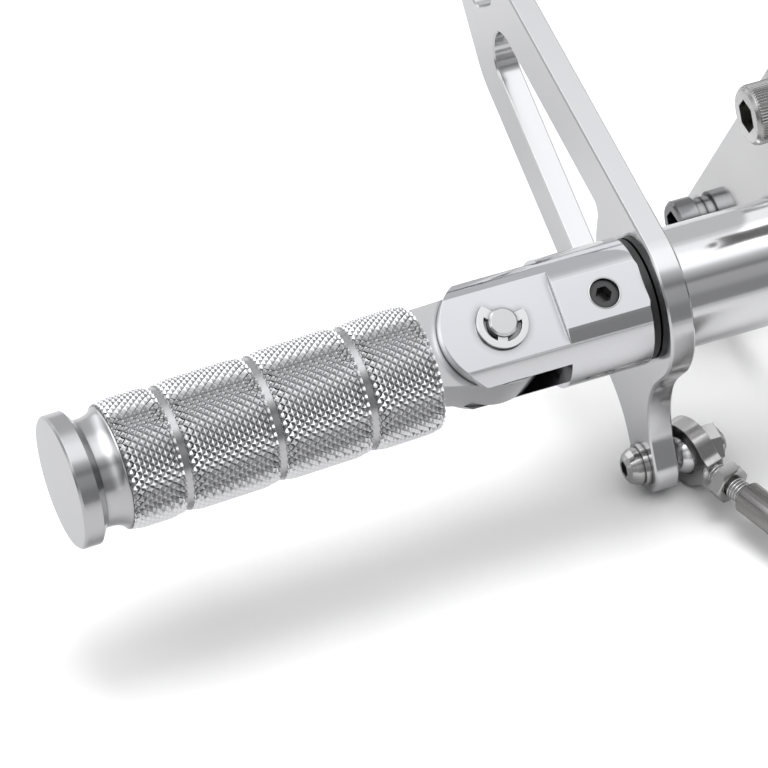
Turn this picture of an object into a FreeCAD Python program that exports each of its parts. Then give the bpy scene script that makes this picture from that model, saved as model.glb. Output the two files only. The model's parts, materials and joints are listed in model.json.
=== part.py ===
import FreeCAD, Part
import os
import re
import Sketcher
from FreeCAD import Vector
from math import asin, atan2, hypot, pi, sin, cos

# Left-hand forward control of a motorcycle: a folding foot peg in a clevis, a
# shift lever that turns on the same shaft, its linkage rod and the plate that
# bolts the whole to the frame.
# Millimetres. Origin: middle of the shaft axis on the plate's back face.
# +X points inboard, +Y forward, +Z up.

SIZES = (
    ("plate_thick", 9.5, "mounting plate, thickness"),
    ("plate_eye", 24.0, "mounting plate, radius round the shaft"),
    ("plate_corner", 12.0, "mounting plate, radius of both screw corners"),
    ("plate_floor", 3.0, "metal left behind the shaft's blind bore"),
    ("edge_break", 0.5, "chamfer along the edges of plate and lever"),
    ("upper_screw_y", 5.5, "upper plate screw, forward of the shaft"),
    ("upper_screw_z", 49.6, "upper plate screw, above the shaft"),
    ("upper_corner_dy", 2.2, "upper plate corner, behind its screw"),
    ("upper_corner_dz", 4.4, "upper plate corner, above its screw"),
    ("lower_screw_y", 48.8, "lower plate screw, forward of the shaft"),
    ("lower_screw_z", 27.8, "lower plate screw, below the shaft"),
    ("lower_corner_dy", 1.4, "lower plate corner, forward of its screw"),
    ("lower_corner_dz", 8.8, "lower plate corner, below its screw"),
    ("plate_screw_radius", 5.0, "plate screws, shank radius"),
    ("plate_screw_reach", 25.0, "plate screws, length behind the plate"),
    ("plate_thread_radius", 4.5, "plate screws, pitch radius of the thread"),
    ("plate_runout", 1.0, "plate screws, half length of the thread run-out"),
    ("plate_runout_deep", 0.6, "plate screws, run-out below the thread"),
    ("screw_hole_gap", 0.25, "clearance round a screw shank"),
    ("upper_head_radius", 7.9, "upper plate screw, head radius"),
    ("upper_head_tall", 11.0, "upper plate screw, head height"),
    ("lower_head_radius", 7.1, "lower plate screw, head radius"),
    ("lower_head_tall", 6.0, "lower plate screw, head height"),
    ("collar_radius", 6.1, "collar under the lower head, radius"),
    ("collar_tall", 2.8, "collar under the lower head, height"),
    ("socket_flats", 8.0, "plate screws, hexagon socket across flats"),
    ("socket_deep", 5.0, "plate screws, depth of the hexagon socket"),
    ("head_chamfer", 0.8, "chamfer of screw heads and shank ends"),
    ("shaft_radius", 9.525, "pivot shaft, radius"),
    ("fit_gap", 0.02, "radial gap of a fixed round fit"),
    ("running_gap", 0.05, "radial gap of a turning round fit"),
    ("side_gap", 0.3, "side play of the lever between tube and washer"),
    ("tube_length", 35.6, "standoff tube, length"),
    ("tube_radius", 16.6, "standoff tube, outer radius"),
    ("washer_thick", 1.8, "thrust washer, thickness"),
    ("washer_radius", 16.6, "thrust washer, outer radius"),
    ("clevis_roll", 30.0, "clevis, turned forward about the shaft"),
    ("clevis_radius", 17.5, "clevis, radius of the bar"),
    ("ear_radius", 16.6, "clevis, radius of the ears' round ends about the pin"),
    ("solid_length", 24.0, "clevis, solid part from its end to the slot"),
    ("pin_back", 40.0, "clevis, from its end to the peg's pin"),
    ("slot_half", 9.7, "clevis slot, half width"),
    ("ear_flat_deep", 3.3, "clevis, depth of the flat on the ear"),
    ("screw_flat_deep", 1.3, "clevis, depth of the flat round the set screw"),
    ("shaft_bore_deep", 20.0, "clevis, depth of the shaft bore"),
    ("bore_end_gap", 0.3, "free space past the shaft's end"),
    ("set_screw_back", 11.2, "clevis, from its end to the set screw"),
    ("set_screw_radius", 4.0, "set screw, radius"),
    ("set_screw_sink", 1.0, "set screw, below its flat"),
    ("set_screw_flats", 4.0, "set screw, hexagon socket across flats"),
    ("set_socket_deep", 4.0, "set screw, depth of its socket"),
    ("thread_gap", 0.05, "radial gap between screw and tapped hole"),
    ("pin_radius", 3.95, "peg pin, radius"),
    ("pin_stands", 2.3, "peg pin, above the ear's flat"),
    ("pin_head_radius", 5.5, "peg pin, head radius"),
    ("pin_head_tall", 2.0, "peg pin, head height"),
    ("pin_seat_deep", 4.0, "clevis, depth of the seat of the pin head"),
    ("spot_gap", 0.4, "clearance round the pin head"),
    ("groove_radius", 3.2, "peg pin, radius inside the clip groove"),
    ("clip_thick", 1.0, "retaining clip, thickness"),
    ("clip_lift", 0.3, "retaining clip, above the ear's flat"),
    ("clip_play", 0.05, "retaining clip, play in its groove"),
    ("clip_outer", 7.0, "retaining clip, outer radius"),
    ("clip_inner", 5.2, "retaining clip, radius behind the lugs"),
    ("clip_lug_half", 1.3, "retaining clip, half width of a lug"),
    ("clip_open_from", 19.0, "retaining clip, mouth from this angle"),
    ("clip_open_to", 123.0, "retaining clip, mouth to this angle"),
    ("peg_droop", 1.91, "foot peg, rest angle off the shaft axis"),
    ("peg_offset", 1.33, "foot peg, axis beside the pin"),
    ("tang_half", 9.4, "foot peg tang, half thickness"),
    ("tang_side", 13.5, "foot peg tang, half width on the stop side"),
    ("tang_corner", 1.5, "foot peg tang, radius of the stop corner"),
    ("tang_round", 15.1, "foot peg tang, radius of the folding side"),
    ("tang_waist", 8.0, "foot peg tang, half width at the grip, folding side"),
    ("stop_gap", 0.3, "foot peg stop, free space when in line"),
    ("grip_radius", 17.5, "foot peg grip, radius"),
    ("grip_start", 21.0, "foot peg grip, from the pin"),
    ("grip_groove_a", 40.5, "first grip groove, from the pin"),
    ("grip_groove_b", 66.5, "second grip groove, from the pin"),
    ("grip_groove_c", 92.5, "third grip groove, from the pin"),
    ("groove_half", 1.0, "grip grooves, half width"),
    ("groove_deep", 0.9, "grip grooves, depth"),
    ("grip_end", 108.0, "foot peg grip, far end from the pin"),
    ("neck_radius", 14.6, "foot peg, radius of the neck"),
    ("neck_run", 5.0, "foot peg, hollow curve from grip to neck"),
    ("neck_length", 1.5, "foot peg neck, straight length"),
    ("cone_length", 2.4, "foot peg, cone from neck to end disc"),
    ("disc_radius", 18.0, "foot peg, radius of the end disc"),
    ("disc_thick", 5.16, "foot peg, thickness of the end disc"),
    ("disc_chamfer", 0.6, "foot peg, chamfer of the end disc"),
    ("grip_chamfer", 0.6, "foot peg, chamfer of the grip bands"),
    ("lever_thick", 7.0, "shift lever, thickness"),
    ("hub_radius", 22.6, "shift lever, radius round the shaft"),
    ("bush_radius", 12.5, "lever bushing, outer radius"),
    ("bend_y", 94.4, "middle of the lever's lower bend, forward"),
    ("bend_z", 10.0, "middle of the lever's lower bend, up"),
    ("bend_radius", 20.5, "shift lever, lower bend radius"),
    ("crook_dy", 9.2, "middle of the upper bend, behind the lower one"),
    ("crook_dz", 54.4, "middle of the upper bend, above the lower one"),
    ("crook_radius", 30.0, "shift lever, upper bend radius"),
    ("toe_y", 160.0, "toe peg, forward of the shaft"),
    ("toe_z", 61.0, "toe peg, above the shaft"),
    ("toe_eye", 11.0, "shift lever, radius round the toe peg"),
    ("arm_back", 9.4, "arm bolt, behind the shaft"),
    ("arm_drop", 53.8, "arm bolt, below the shaft"),
    ("arm_eye", 8.4, "shift lever, radius round the arm bolt"),
    ("arm_front_radius", 26.6, "hollow curve on the front of the arm"),
    ("arm_front_turn", 22.6, "middle of that curve, angle below the level"),
    ("arm_rear_radius", 25.0, "hollow curve on the back of the arm"),
    ("blend_run", 0.4, "extra spacing that leaves a short tangent"),
    ("slot_hub_radius", 27.3, "lever slot, curve round the hub"),
    ("slot_top_radius", 3.0, "lever slot, upper inner corner"),
    ("slot_top_turn", 14.25, "upper inner corner, angle above the level"),
    ("slot_low_radius", 2.6, "lever slot, lower inner corner"),
    ("slot_low_turn", 55.0, "lower inner corner, angle below the level"),
    ("slot_end_radius", 8.85, "lever slot, round far end"),
    ("slot_end_dy", 4.6, "lever slot's far end, behind the lower bend"),
    ("window_low_dy", 17.3, "front slot, lower corner forward of the bend"),
    ("window_low_dz", 9.2, "front slot, lower corner above the bend"),
    ("window_low_radius", 4.6, "front slot, lower corner radius"),
    ("window_top_dy", 11.6, "front slot, upper corner forward of the bend"),
    ("window_top_dz", 15.0, "front slot, upper corner above the bend"),
    ("window_top_radius", 5.0, "front slot, upper corner radius"),
    ("window_end_dy", 29.0, "front slot's far end, behind the toe peg"),
    ("window_end_dz", 23.0, "front slot's far end, below the toe peg"),
    ("window_end_radius", 4.0, "front slot, far end radius"),
    ("arm_screw_radius", 2.9, "arm screw, shank radius"),
    ("arm_hole_gap", 0.1, "clearance round the arm screw"),
    ("arm_head_radius", 5.25, "arm screw, head radius"),
    ("arm_head_tall", 4.2, "arm screw, head height"),
    ("arm_head_flats", 4.0, "arm screw, hexagon socket across flats"),
    ("arm_socket_deep", 2.2, "arm screw, depth of its socket"),
    ("arm_washer_radius", 6.0, "arm screw washer, radius"),
    ("arm_washer_thick", 1.6, "arm screw washer, thickness"),
    ("spacer_radius", 3.8, "ball spacer, radius"),
    ("spacer_length", 1.5, "ball spacer, length"),
    ("ball_radius", 6.2, "rod end ball, radius"),
    ("ball_half", 4.6, "rod end ball, half width"),
    ("ball_bore_gap", 0.1, "clearance of a ball's bore round its bolt"),
    ("nut_flats", 10.0, "small nuts, across flats"),
    ("lock_nut_tall", 4.1, "arm lock nut, height of the hexagon"),
    ("lock_dome_tall", 1.0, "arm lock nut, height of the dome"),
    ("nut_face", 4.6, "small nuts, radius of the bearing face"),
    ("arm_screw_past", 0.9, "arm screw, past its lock nut"),
    ("rod_toe_in", 18.0, "linkage rod, turned inboard from straight back"),
    ("rod_rise", 2.1, "linkage rod, rise towards the rear"),
    ("ring_radius", 9.5, "rod end, outer radius of the eye"),
    ("ring_half", 2.6, "rod end, half width of the eye"),
    ("rod_neck_radius", 3.6, "rod end, radius of the neck"),
    ("rod_neck_end", 11.2, "rod end, end of the neck from the ball"),
    ("rod_neck_blend", 4.0, "rod end, curve from eye to neck"),
    ("rod_thread_radius", 2.9, "rod end, radius of the thread"),
    ("jam_nut_at", 14.2, "jam nut, from the ball's middle"),
    ("jam_nut_tall", 4.2, "jam nut, height"),
    ("rod_start", 23.4, "linkage rod, from the ball's middle"),
    ("rod_length", 121.2, "linkage rod, length of the bar"),
    ("rod_radius", 4.6, "linkage rod, radius of the bar"),
    ("rod_bore_deep", 16.0, "linkage rod, depth of its tapped ends"),
    ("rod_engaged", 13.0, "rod end, thread inside the bar"),
    ("rod_chamfer", 0.7, "linkage rod, chamfer of its ends"),
    ("toe_peg_length", 50.0, "toe peg, length"),
    ("toe_peg_radius", 10.0, "toe peg, radius"),
    ("toe_foot_radius", 9.0, "toe peg, radius of the foot"),
    ("toe_foot_length", 3.0, "toe peg, length of the foot"),
    ("toe_groove_step", 11.0, "toe peg, spacing of its grooves"),
    ("toe_groove_deep", 0.8, "toe peg, depth of its grooves"),
    ("toe_screw_radius", 4.0, "toe peg screw, shank radius"),
    ("toe_head_radius", 7.0, "toe peg screw, head radius"),
    ("toe_head_tall", 4.4, "toe peg screw, head height"),
    ("toe_head_flats", 5.0, "toe peg screw, socket across flats"),
    ("toe_screw_deep", 18.0, "toe peg screw, thread inside the peg"),
)

doc = FreeCAD.newDocument("forward_controls")
sheet = doc.addObject("Spreadsheet::Sheet", "sizes")
for row, (name, value, note) in enumerate(SIZES, 1):
    sheet.set("A%d" % row, name)
    sheet.set("B%d" % row, str(value))
    sheet.set("C%d" % row, note)
    sheet.setAlias("B%d" % row, name)
doc.recompute()

# Distances outboard of the plate's back face, as formulas.
TUBE_OUT = "(plate_thick+tube_length)"
LEVER_IN = "(plate_thick+tube_length+side_gap)"
LEVER_OUT = "(plate_thick+tube_length+side_gap+lever_thick)"
WASHER_IN = "(plate_thick+tube_length+2*side_gap+lever_thick)"
CLEVIS_END = "(plate_thick+tube_length+2*side_gap+lever_thick+washer_thick)"
BALL_X = "(spacer_length+ball_half-%s)" % LEVER_IN
ROD_SPAN = "(rod_length+2*rod_start)"


def ex(text):
    """A formula with its size names pointed at the sheet."""
    return re.sub(r"\b([a-z]+(?:_[a-z0-9]+)+)\b", r"sizes.\1", text)


def num(text):
    """What a formula gives with the sheet's sizes."""
    value = sheet.evalExpression(ex(text))
    return float(getattr(value, "Value", value))


def new_body(name):
    body = doc.addObject("PartDesign::Body", name)
    body.Label = name
    return body


def place(body, x, y="0", z="0", turn="rotation(0;0;0)"):
    """Bind a piece's Placement to formulas."""
    text = "placement(vector(%s;%s;%s); %s)" % (x, y, z, turn)
    body.setExpression("Placement", ex(text))


def sketch(body, role, name, lift=None):
    """A sketch on one of the body's own origin planes."""
    drawn = body.newObject("Sketcher::SketchObject", body.Name + "_" + name)
    base = [item for item in body.Origin.OriginFeatures if item.Role == role][0]
    drawn.AttachmentSupport = [(base, "")]
    drawn.MapMode = "FlatFace"
    if lift:
        drawn.setExpression("AttachmentOffset.Base.z", ex(lift))
    return drawn


def hold(drawn, kind, places, formula):
    """One driving constraint, bound to its formula."""
    index = drawn.addConstraint(Sketcher.Constraint(kind, *places, num(formula)))
    drawn.setExpression("Constraints[%d]" % index, ex(formula))


def pin_point(drawn, geo, pos, x, y):
    """Hold a point at x, y from the sketch's origin."""
    if x == "0":
        drawn.addConstraint(Sketcher.Constraint("PointOnObject", geo, pos, -2))
    else:
        hold(drawn, "DistanceX", (-1, 1, geo, pos), x)
    if y == "0":
        drawn.addConstraint(Sketcher.Constraint("PointOnObject", geo, pos, -1))
    else:
        hold(drawn, "DistanceY", (-1, 1, geo, pos), y)


def polygon(drawn, points):
    """A closed outline of straight lines through points given as formulas."""
    spots = [Vector(num(x), num(y), 0) for x, y in points]
    count = len(spots)
    first = None
    for i in range(count):
        line = Part.LineSegment(spots[i], spots[(i + 1) % count])
        geo = drawn.addGeometry(line, False)
        if first is None:
            first = geo
    for i in range(count):
        ends = (first + i, 2, first + (i + 1) % count, 1)
        drawn.addConstraint(Sketcher.Constraint("Coincident", *ends))
    for i, (x, y) in enumerate(points):
        pin_point(drawn, first + i, 1, x, y)


def rectangle(drawn, x0, x1, y0, y1):
    polygon(drawn, ((x0, y0), (x1, y0), (x1, y1), (x0, y1)))


def hexagon(drawn, flats):
    """A hexagon about the origin, two of its corners on the sketch's x axis."""
    corners = []
    for i in range(6):
        x = "%s/sqrt(3)*cos(%d)" % (flats, 60 * i)
        y = "%s/sqrt(3)*sin(%d)" % (flats, 60 * i)
        corners.append((x, "0" if i in (0, 3) else y))
    polygon(drawn, corners)


def circle(drawn, x, y, radius):
    centre = Vector(num(x), num(y), 0)
    geo = drawn.addGeometry(Part.Circle(centre, Vector(0, 0, 1), num(radius)), False)
    pin_point(drawn, geo, 3, x, y)
    hold(drawn, "Radius", (geo,), radius)


def belt(drawn, stops):
    """A closed outline of arcs joined by their tangents, counter-clockwise.

    A stop is x, y, radius and side: 1 where the outline swells round the
    stop, -1 where it is hollow there.
    """
    spots = [(num(x), num(y), side * num(r)) for x, y, r, side in stops]
    count = len(spots)
    heading = []
    for i, (xa, ya, ra) in enumerate(spots):
        xb, yb, rb = spots[(i + 1) % count]
        reach = hypot(xb - xa, yb - ya)
        heading.append(atan2(yb - ya, xb - xa) - asin((rb - ra) / reach))

    def touch(i, way):
        x, y, r = spots[i]
        return Vector(x + r * sin(way), y - r * cos(way), 0)

    arcs = []
    for i, (x, y, r) in enumerate(spots):
        start = heading[i - 1] - pi / 2
        end = heading[i] - pi / 2
        if r < 0:
            start, end = end + pi, start + pi
        while end < start:
            end += 2 * pi
        while end > start + 2 * pi:
            end -= 2 * pi
        ring = Part.Circle(Vector(x, y, 0), Vector(0, 0, 1), abs(r))
        arcs.append(drawn.addGeometry(Part.ArcOfCircle(ring, start, end), False))
    lines = []
    for i in range(count):
        after = (i + 1) % count
        run = Part.LineSegment(touch(i, heading[i]), touch(after, heading[i]))
        lines.append(drawn.addGeometry(run, False))
    for i, (x, y, r, side) in enumerate(stops):
        into, out = (1, 2) if side > 0 else (2, 1)
        pin_point(drawn, arcs[i], 3, x, y)
        hold(drawn, "Radius", (arcs[i],), r)
        leave = (arcs[i], out, lines[i], 1)
        arrive = (lines[i - 1], 2, arcs[i], into)
        drawn.addConstraint(Sketcher.Constraint("Tangent", *leave))
        drawn.addConstraint(Sketcher.Constraint("Tangent", *arrive))


def pad(body, drawn, length, back=False, middle=False):
    made = body.newObject("PartDesign::Pad", drawn.Name + "_pad")
    made.Profile = drawn
    made.setExpression("Length", ex(length))
    made.SideType = "Symmetric" if middle else "One side"
    made.Reversed = back
    return made


def pocket(body, drawn, length=None, back=False, middle=False):
    """Cut by a length, or right through when none is given."""
    made = body.newObject("PartDesign::Pocket", drawn.Name + "_cut")
    made.Profile = drawn
    if length:
        made.setExpression("Length", ex(length))
    else:
        made.Type = "ThroughAll"
    made.SideType = "Symmetric" if middle else "One side"
    made.Reversed = back
    return made


def turn(body, drawn, axis="H_Axis", kind="Revolution", angle=360.0, back=False):
    made = body.newObject("PartDesign::" + kind, drawn.Name + "_turn")
    made.Profile = drawn
    made.ReferenceAxis = (drawn, [axis])
    made.Angle = angle
    made.Reversed = back
    return made


def turned(name, points):
    """A piece turned about X from a profile of distances along X and radii."""
    body = new_body(name)
    drawn = sketch(body, "XZ_Plane", "profile")
    polygon(drawn, points)
    turn(body, drawn)
    return body


def hex_socket(body, at, flats, deep, back):
    """A hexagon socket on the X axis, from a head's face into it."""
    drawn = sketch(body, "YZ_Plane", "socket", at)
    hexagon(drawn, flats)
    pocket(body, drawn, deep, back=back)


def trim_to_hexagon(body, flats, tall):
    """Cut six flats on a turned blank that starts at the body's YZ plane."""
    drawn = sketch(body, "YZ_Plane", "flats")
    circle(drawn, "0", "0", flats)
    hexagon(drawn, flats)
    pocket(body, drawn, tall, back=True)


def chamfer(body, chosen, size):
    """Chamfer the edges or faces of the body's tip that a test picks out."""
    doc.recompute()
    base = body.Tip
    names = []
    for i, face in enumerate(base.Shape.Faces, 1):
        if chosen(face):
            names.append("Face%d" % i)
    made = body.newObject("PartDesign::Chamfer", body.Name + "_chamfer")
    made.Base = (base, names)
    made.setExpression("Size", ex(size))
    return made


def broad_face(face):
    """One of the two flat sides square to X."""
    surface = face.Surface
    if not isinstance(surface, Part.Plane) or abs(surface.Axis.x) < 0.999:
        return False
    return face.Area > 1000


# Mounting plate: three round corners joined by straight sides, two screw holes
# and a blind bore that holds the shaft.
plate = new_body("mounting_plate")
outline = sketch(plate, "YZ_Plane", "outline")
UPPER = ("upper_screw_y", "upper_screw_z")
LOWER = ("lower_screw_y", "-lower_screw_z")
belt(outline, (
    ("0", "0", "plate_eye", 1),
    ("lower_screw_y+lower_corner_dy", "-lower_screw_z-lower_corner_dz", "plate_corner", 1),
    ("upper_screw_y-upper_corner_dy", "upper_screw_z+upper_corner_dz", "plate_corner", 1),
))
pad(plate, outline, "plate_thick", back=True)
chamfer(plate, broad_face, "edge_break")
holes = sketch(plate, "YZ_Plane", "holes")
circle(holes, UPPER[0], UPPER[1], "plate_screw_radius+screw_hole_gap")
circle(holes, LOWER[0], LOWER[1], "plate_screw_radius+screw_hole_gap")
pocket(plate, holes)
bore = sketch(plate, "YZ_Plane", "bore", "-plate_floor")
circle(bore, "0", "0", "shaft_radius+fit_gap")
pocket(plate, bore, "plate_thick")
place(plate, "0")

# Shaft, standoff tube and the black washer that the lever runs between.
shaft_far = CLEVIS_END + "+shaft_bore_deep-bore_end_gap"
shaft = turned("pivot_shaft", (
    ("-plate_floor", "0"),
    ("-plate_floor", "shaft_radius-edge_break"),
    ("-plate_floor-edge_break", "shaft_radius"),
    ("edge_break-(%s)" % shaft_far, "shaft_radius"),
    ("-(%s)" % shaft_far, "shaft_radius-edge_break"),
    ("-(%s)" % shaft_far, "0"),
))
place(shaft, "0")

tube = turned("standoff_tube", (
    ("0", "shaft_radius+running_gap"),
    ("0", "tube_radius"),
    ("edge_break-tube_length", "tube_radius"),
    ("-tube_length", "tube_radius-edge_break"),
    ("-tube_length", "shaft_radius+running_gap"),
))
place(tube, "-plate_thick")

washer = turned("thrust_washer", (
    ("0", "shaft_radius+running_gap"),
    ("0", "washer_radius"),
    ("-washer_thick", "washer_radius"),
    ("-washer_thick", "shaft_radius+running_gap"),
))
place(washer, "-" + WASHER_IN)

# Plate screws. Both shanks pass the plate and stand out behind it.
upper = turned("upper_plate_screw", (
    ("-upper_head_tall", "0"),
    ("-upper_head_tall", "upper_head_radius-head_chamfer"),
    ("head_chamfer-upper_head_tall", "upper_head_radius"),
    ("0", "upper_head_radius"),
    ("0", "plate_screw_radius"),
    ("plate_thick-plate_runout", "plate_screw_radius"),
    ("plate_thick-plate_runout", "plate_thread_radius-plate_runout_deep"),
    ("plate_thick+plate_runout", "plate_thread_radius-plate_runout_deep"),
    ("plate_thick+plate_runout", "plate_thread_radius"),
    ("plate_thick+plate_screw_reach-head_chamfer", "plate_thread_radius"),
    ("plate_thick+plate_screw_reach", "plate_thread_radius-head_chamfer"),
    ("plate_thick+plate_screw_reach", "0"),
))
hex_socket(upper, "-upper_head_tall", "socket_flats", "socket_deep", True)
place(upper, "-plate_thick", UPPER[0], UPPER[1])

lower = turned("lower_plate_screw", (
    ("-lower_head_tall", "0"),
    ("-lower_head_tall", "lower_head_radius-head_chamfer"),
    ("head_chamfer-lower_head_tall", "lower_head_radius"),
    ("0", "lower_head_radius"),
    ("0", "plate_screw_radius"),
    ("collar_tall+plate_thick-plate_runout", "plate_screw_radius"),
    ("collar_tall+plate_thick-plate_runout", "plate_thread_radius-plate_runout_deep"),
    ("collar_tall+plate_thick+plate_runout", "plate_thread_radius-plate_runout_deep"),
    ("collar_tall+plate_thick+plate_runout", "plate_thread_radius"),
    ("collar_tall+plate_thick+plate_screw_reach-head_chamfer", "plate_thread_radius"),
    ("collar_tall+plate_thick+plate_screw_reach", "plate_thread_radius-head_chamfer"),
    ("collar_tall+plate_thick+plate_screw_reach", "0"),
))
hex_socket(lower, "-lower_head_tall", "socket_flats", "socket_deep", True)
place(lower, "-plate_thick-collar_tall", LOWER[0], LOWER[1])

collar = turned("lower_screw_collar", (
    ("0", "plate_screw_radius+screw_hole_gap"),
    ("0", "collar_radius"),
    ("-collar_tall", "collar_radius"),
    ("-collar_tall", "plate_screw_radius+screw_hole_gap"),
))
place(collar, "-plate_thick", LOWER[0], LOWER[1])

# Clevis: a turned bar, slotted at its outer end for the peg, with round ear
# ends, a flat on the ear, a smaller flat round the set screw and a shaft bore.
# In its own frame X is the shaft axis and Z the peg pin's axis.
CLEVIS_TURN = "rotation(vector(1;0;0); clevis_roll)"
EAR_FLAT = "(clevis_radius-ear_flat_deep)"
SCREW_FLAT = "(clevis_radius-screw_flat_deep)"
PIN_SEAT = "(clevis_radius-pin_seat_deep)"
clevis = turned("peg_clevis", (
    ("0", "0"),
    ("0", "clevis_radius-edge_break"),
    ("-edge_break", "clevis_radius"),
    ("-pin_back-ear_radius", "clevis_radius"),
    ("-pin_back-ear_radius", "0"),
))
ear_ends = sketch(clevis, "YZ_Plane", "ear_ends", "-pin_back")
rectangle(ear_ends, "ear_radius", "clevis_radius*2", "-clevis_radius*1.2", "clevis_radius*1.2")
turn(clevis, ear_ends, "V_Axis", "Groove", 180.0)
slot = sketch(clevis, "XZ_Plane", "slot")
rectangle(slot, "-pin_back-clevis_radius*1.2", "-solid_length", "-slot_half", "slot_half")
pocket(clevis, slot, "clevis_radius*4", middle=True)
flats = sketch(clevis, "XZ_Plane", "flats")
rectangle(flats, "-pin_back-clevis_radius*1.2", "-solid_length", EAR_FLAT, "clevis_radius*1.2")
rectangle(flats, "-solid_length", "edge_break*2", SCREW_FLAT, "clevis_radius*1.2")
pocket(clevis, flats, "clevis_radius*4", middle=True)
shaft_bore = sketch(clevis, "YZ_Plane", "shaft_bore")
circle(shaft_bore, "0", "0", "shaft_radius+fit_gap")
pocket(clevis, shaft_bore, "shaft_bore_deep")
pin_hole = sketch(clevis, "XY_Plane", "pin_hole")
circle(pin_hole, "-pin_back", "0", "pin_radius+fit_gap")
pocket(clevis, pin_hole, "clevis_radius*4", middle=True)
spot_face = sketch(clevis, "XY_Plane", "spot_face", "-" + PIN_SEAT)
circle(spot_face, "-pin_back", "0", "pin_head_radius+spot_gap")
pocket(clevis, spot_face, "clevis_radius")
screw_hole = sketch(clevis, "XY_Plane", "screw_hole", "clevis_radius")
circle(screw_hole, "-set_screw_back", "0", "set_screw_radius+thread_gap")
pocket(clevis, screw_hole, "clevis_radius-shaft_radius/2")
place(clevis, "-" + CLEVIS_END, turn=CLEVIS_TURN)

PIN_X = "(-%s-pin_back)" % CLEVIS_END
CLIP_LOW = "(%s+clip_lift)" % EAR_FLAT


def turned_up(name, points):
    """A piece turned about Z from a profile of radii and heights."""
    body = new_body(name)
    drawn = sketch(body, "XZ_Plane", "profile")
    polygon(drawn, points)
    turn(body, drawn, "V_Axis")
    return body


pin = turned_up("clevis_pin", (
    ("0", "-%s-pin_head_tall" % PIN_SEAT),
    ("pin_head_radius", "-%s-pin_head_tall" % PIN_SEAT),
    ("pin_head_radius", "-" + PIN_SEAT),
    ("pin_radius", "-" + PIN_SEAT),
    ("pin_radius", CLIP_LOW + "-clip_play"),
    ("groove_radius", CLIP_LOW + "-clip_play"),
    ("groove_radius", CLIP_LOW + "+clip_thick+clip_play"),
    ("pin_radius", CLIP_LOW + "+clip_thick+clip_play"),
    ("pin_radius", EAR_FLAT + "+pin_stands-edge_break"),
    ("pin_radius-edge_break", EAR_FLAT + "+pin_stands"),
    ("0", EAR_FLAT + "+pin_stands"),
))
place(pin, PIN_X, turn=CLEVIS_TURN)

# Retaining clip: a ring with a wide mouth and three lugs that reach into the
# pin's groove.
clip = new_body("pin_e_clip")
ring = sketch(clip, "XY_Plane", "ring", CLIP_LOW)
circle(ring, "0", "0", "clip_outer")
circle(ring, "0", "0", "clip_inner")
pad(clip, ring, "clip_thick")
mouth = sketch(clip, "XY_Plane", "mouth", CLIP_LOW)
polygon(mouth, (
    ("0", "0"),
    ("clip_outer*2*cos(clip_open_from)", "clip_outer*2*sin(clip_open_from)"),
    ("clip_outer*2*cos(clip_open_to)", "clip_outer*2*sin(clip_open_to)"),
))
pocket(clip, mouth, "clip_thick*2", middle=True)
LUG_TURNS = (
    "(clip_open_from-asin(clip_lug_half/clip_outer)/1deg)",
    "(clip_open_to+asin(clip_lug_half/clip_outer)/1deg)",
    "((clip_open_from+clip_open_to)/2+180)",
)
lugs = sketch(clip, "XY_Plane", "lugs", CLIP_LOW)
for way in LUG_TURNS:
    corners = []
    for reach, side in (
        ("(groove_radius+fit_gap)", "-clip_lug_half"),
        ("(clip_inner+clip_outer)/2", "-clip_lug_half"),
        ("(clip_inner+clip_outer)/2", "clip_lug_half"),
        ("(groove_radius+fit_gap)", "clip_lug_half"),
    ):
        corners.append((
            "%s*cos(%s)-(%s)*sin(%s)" % (reach, way, side, way),
            "%s*sin(%s)+(%s)*cos(%s)" % (reach, way, side, way),
        ))
    polygon(lugs, corners)
pad(clip, lugs, "clip_thick")
place(clip, PIN_X, turn=CLEVIS_TURN)

set_screw = turned_up("clevis_set_screw", (
    ("0", "shaft_radius"),
    ("set_screw_radius*0.6", "shaft_radius"),
    ("set_screw_radius", "shaft_radius+set_screw_radius*0.4"),
    ("set_screw_radius", SCREW_FLAT + "-set_screw_sink"),
    ("0", SCREW_FLAT + "-set_screw_sink"),
))
socket = sketch(set_screw, "XY_Plane", "socket", SCREW_FLAT + "-set_screw_sink")
hexagon(socket, "set_screw_flats")
pocket(set_screw, socket, "set_socket_deep")
place(set_screw, "-%s-set_screw_back" % CLEVIS_END, turn=CLEVIS_TURN)

# Foot peg. In its own frame it points along -X from the pin; the tang's far
# corner is square and meets the slot's end wall when the peg is in line, the
# other side is round, lets the peg fold and narrows towards the grip.
TANG_END = "(pin_back-solid_length-stop_gap)"
NECK_AT = "(grip_end+neck_run)"
DISC_AT = "(grip_end+neck_run+neck_length+cone_length)"
peg = new_body("foot_peg")
grip = sketch(peg, "XZ_Plane", "grip")
profile = [("-grip_start", "0"), ("-grip_start", "grip_radius-grip_chamfer")]
profile.append(("-grip_start-grip_chamfer", "grip_radius"))
for groove in ("grip_groove_a", "grip_groove_b", "grip_groove_c"):
    profile.append(("-%s+groove_half" % groove, "grip_radius"))
    profile.append(("-%s+groove_half" % groove, "grip_radius-groove_deep"))
    profile.append(("-%s-groove_half" % groove, "grip_radius-groove_deep"))
    profile.append(("-%s-groove_half" % groove, "grip_radius"))
for step in range(6):
    run = "neck_run*(1-cos(%d))" % (15 * step)
    rise = "(grip_radius-neck_radius)*(1-sin(%d))" % (15 * step)
    profile.append(("-grip_end-" + run, "neck_radius+" + rise))
profile.append(("-" + NECK_AT, "neck_radius"))
profile.append(("-%s-neck_length" % NECK_AT, "neck_radius"))
profile.append(("-" + DISC_AT, "disc_radius"))
profile.append(("-%s-disc_thick+disc_chamfer" % DISC_AT, "disc_radius"))
profile.append(("-%s-disc_thick" % DISC_AT, "disc_radius-disc_chamfer"))
profile.append(("-%s-disc_thick" % DISC_AT, "0"))
polygon(grip, profile)
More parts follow.
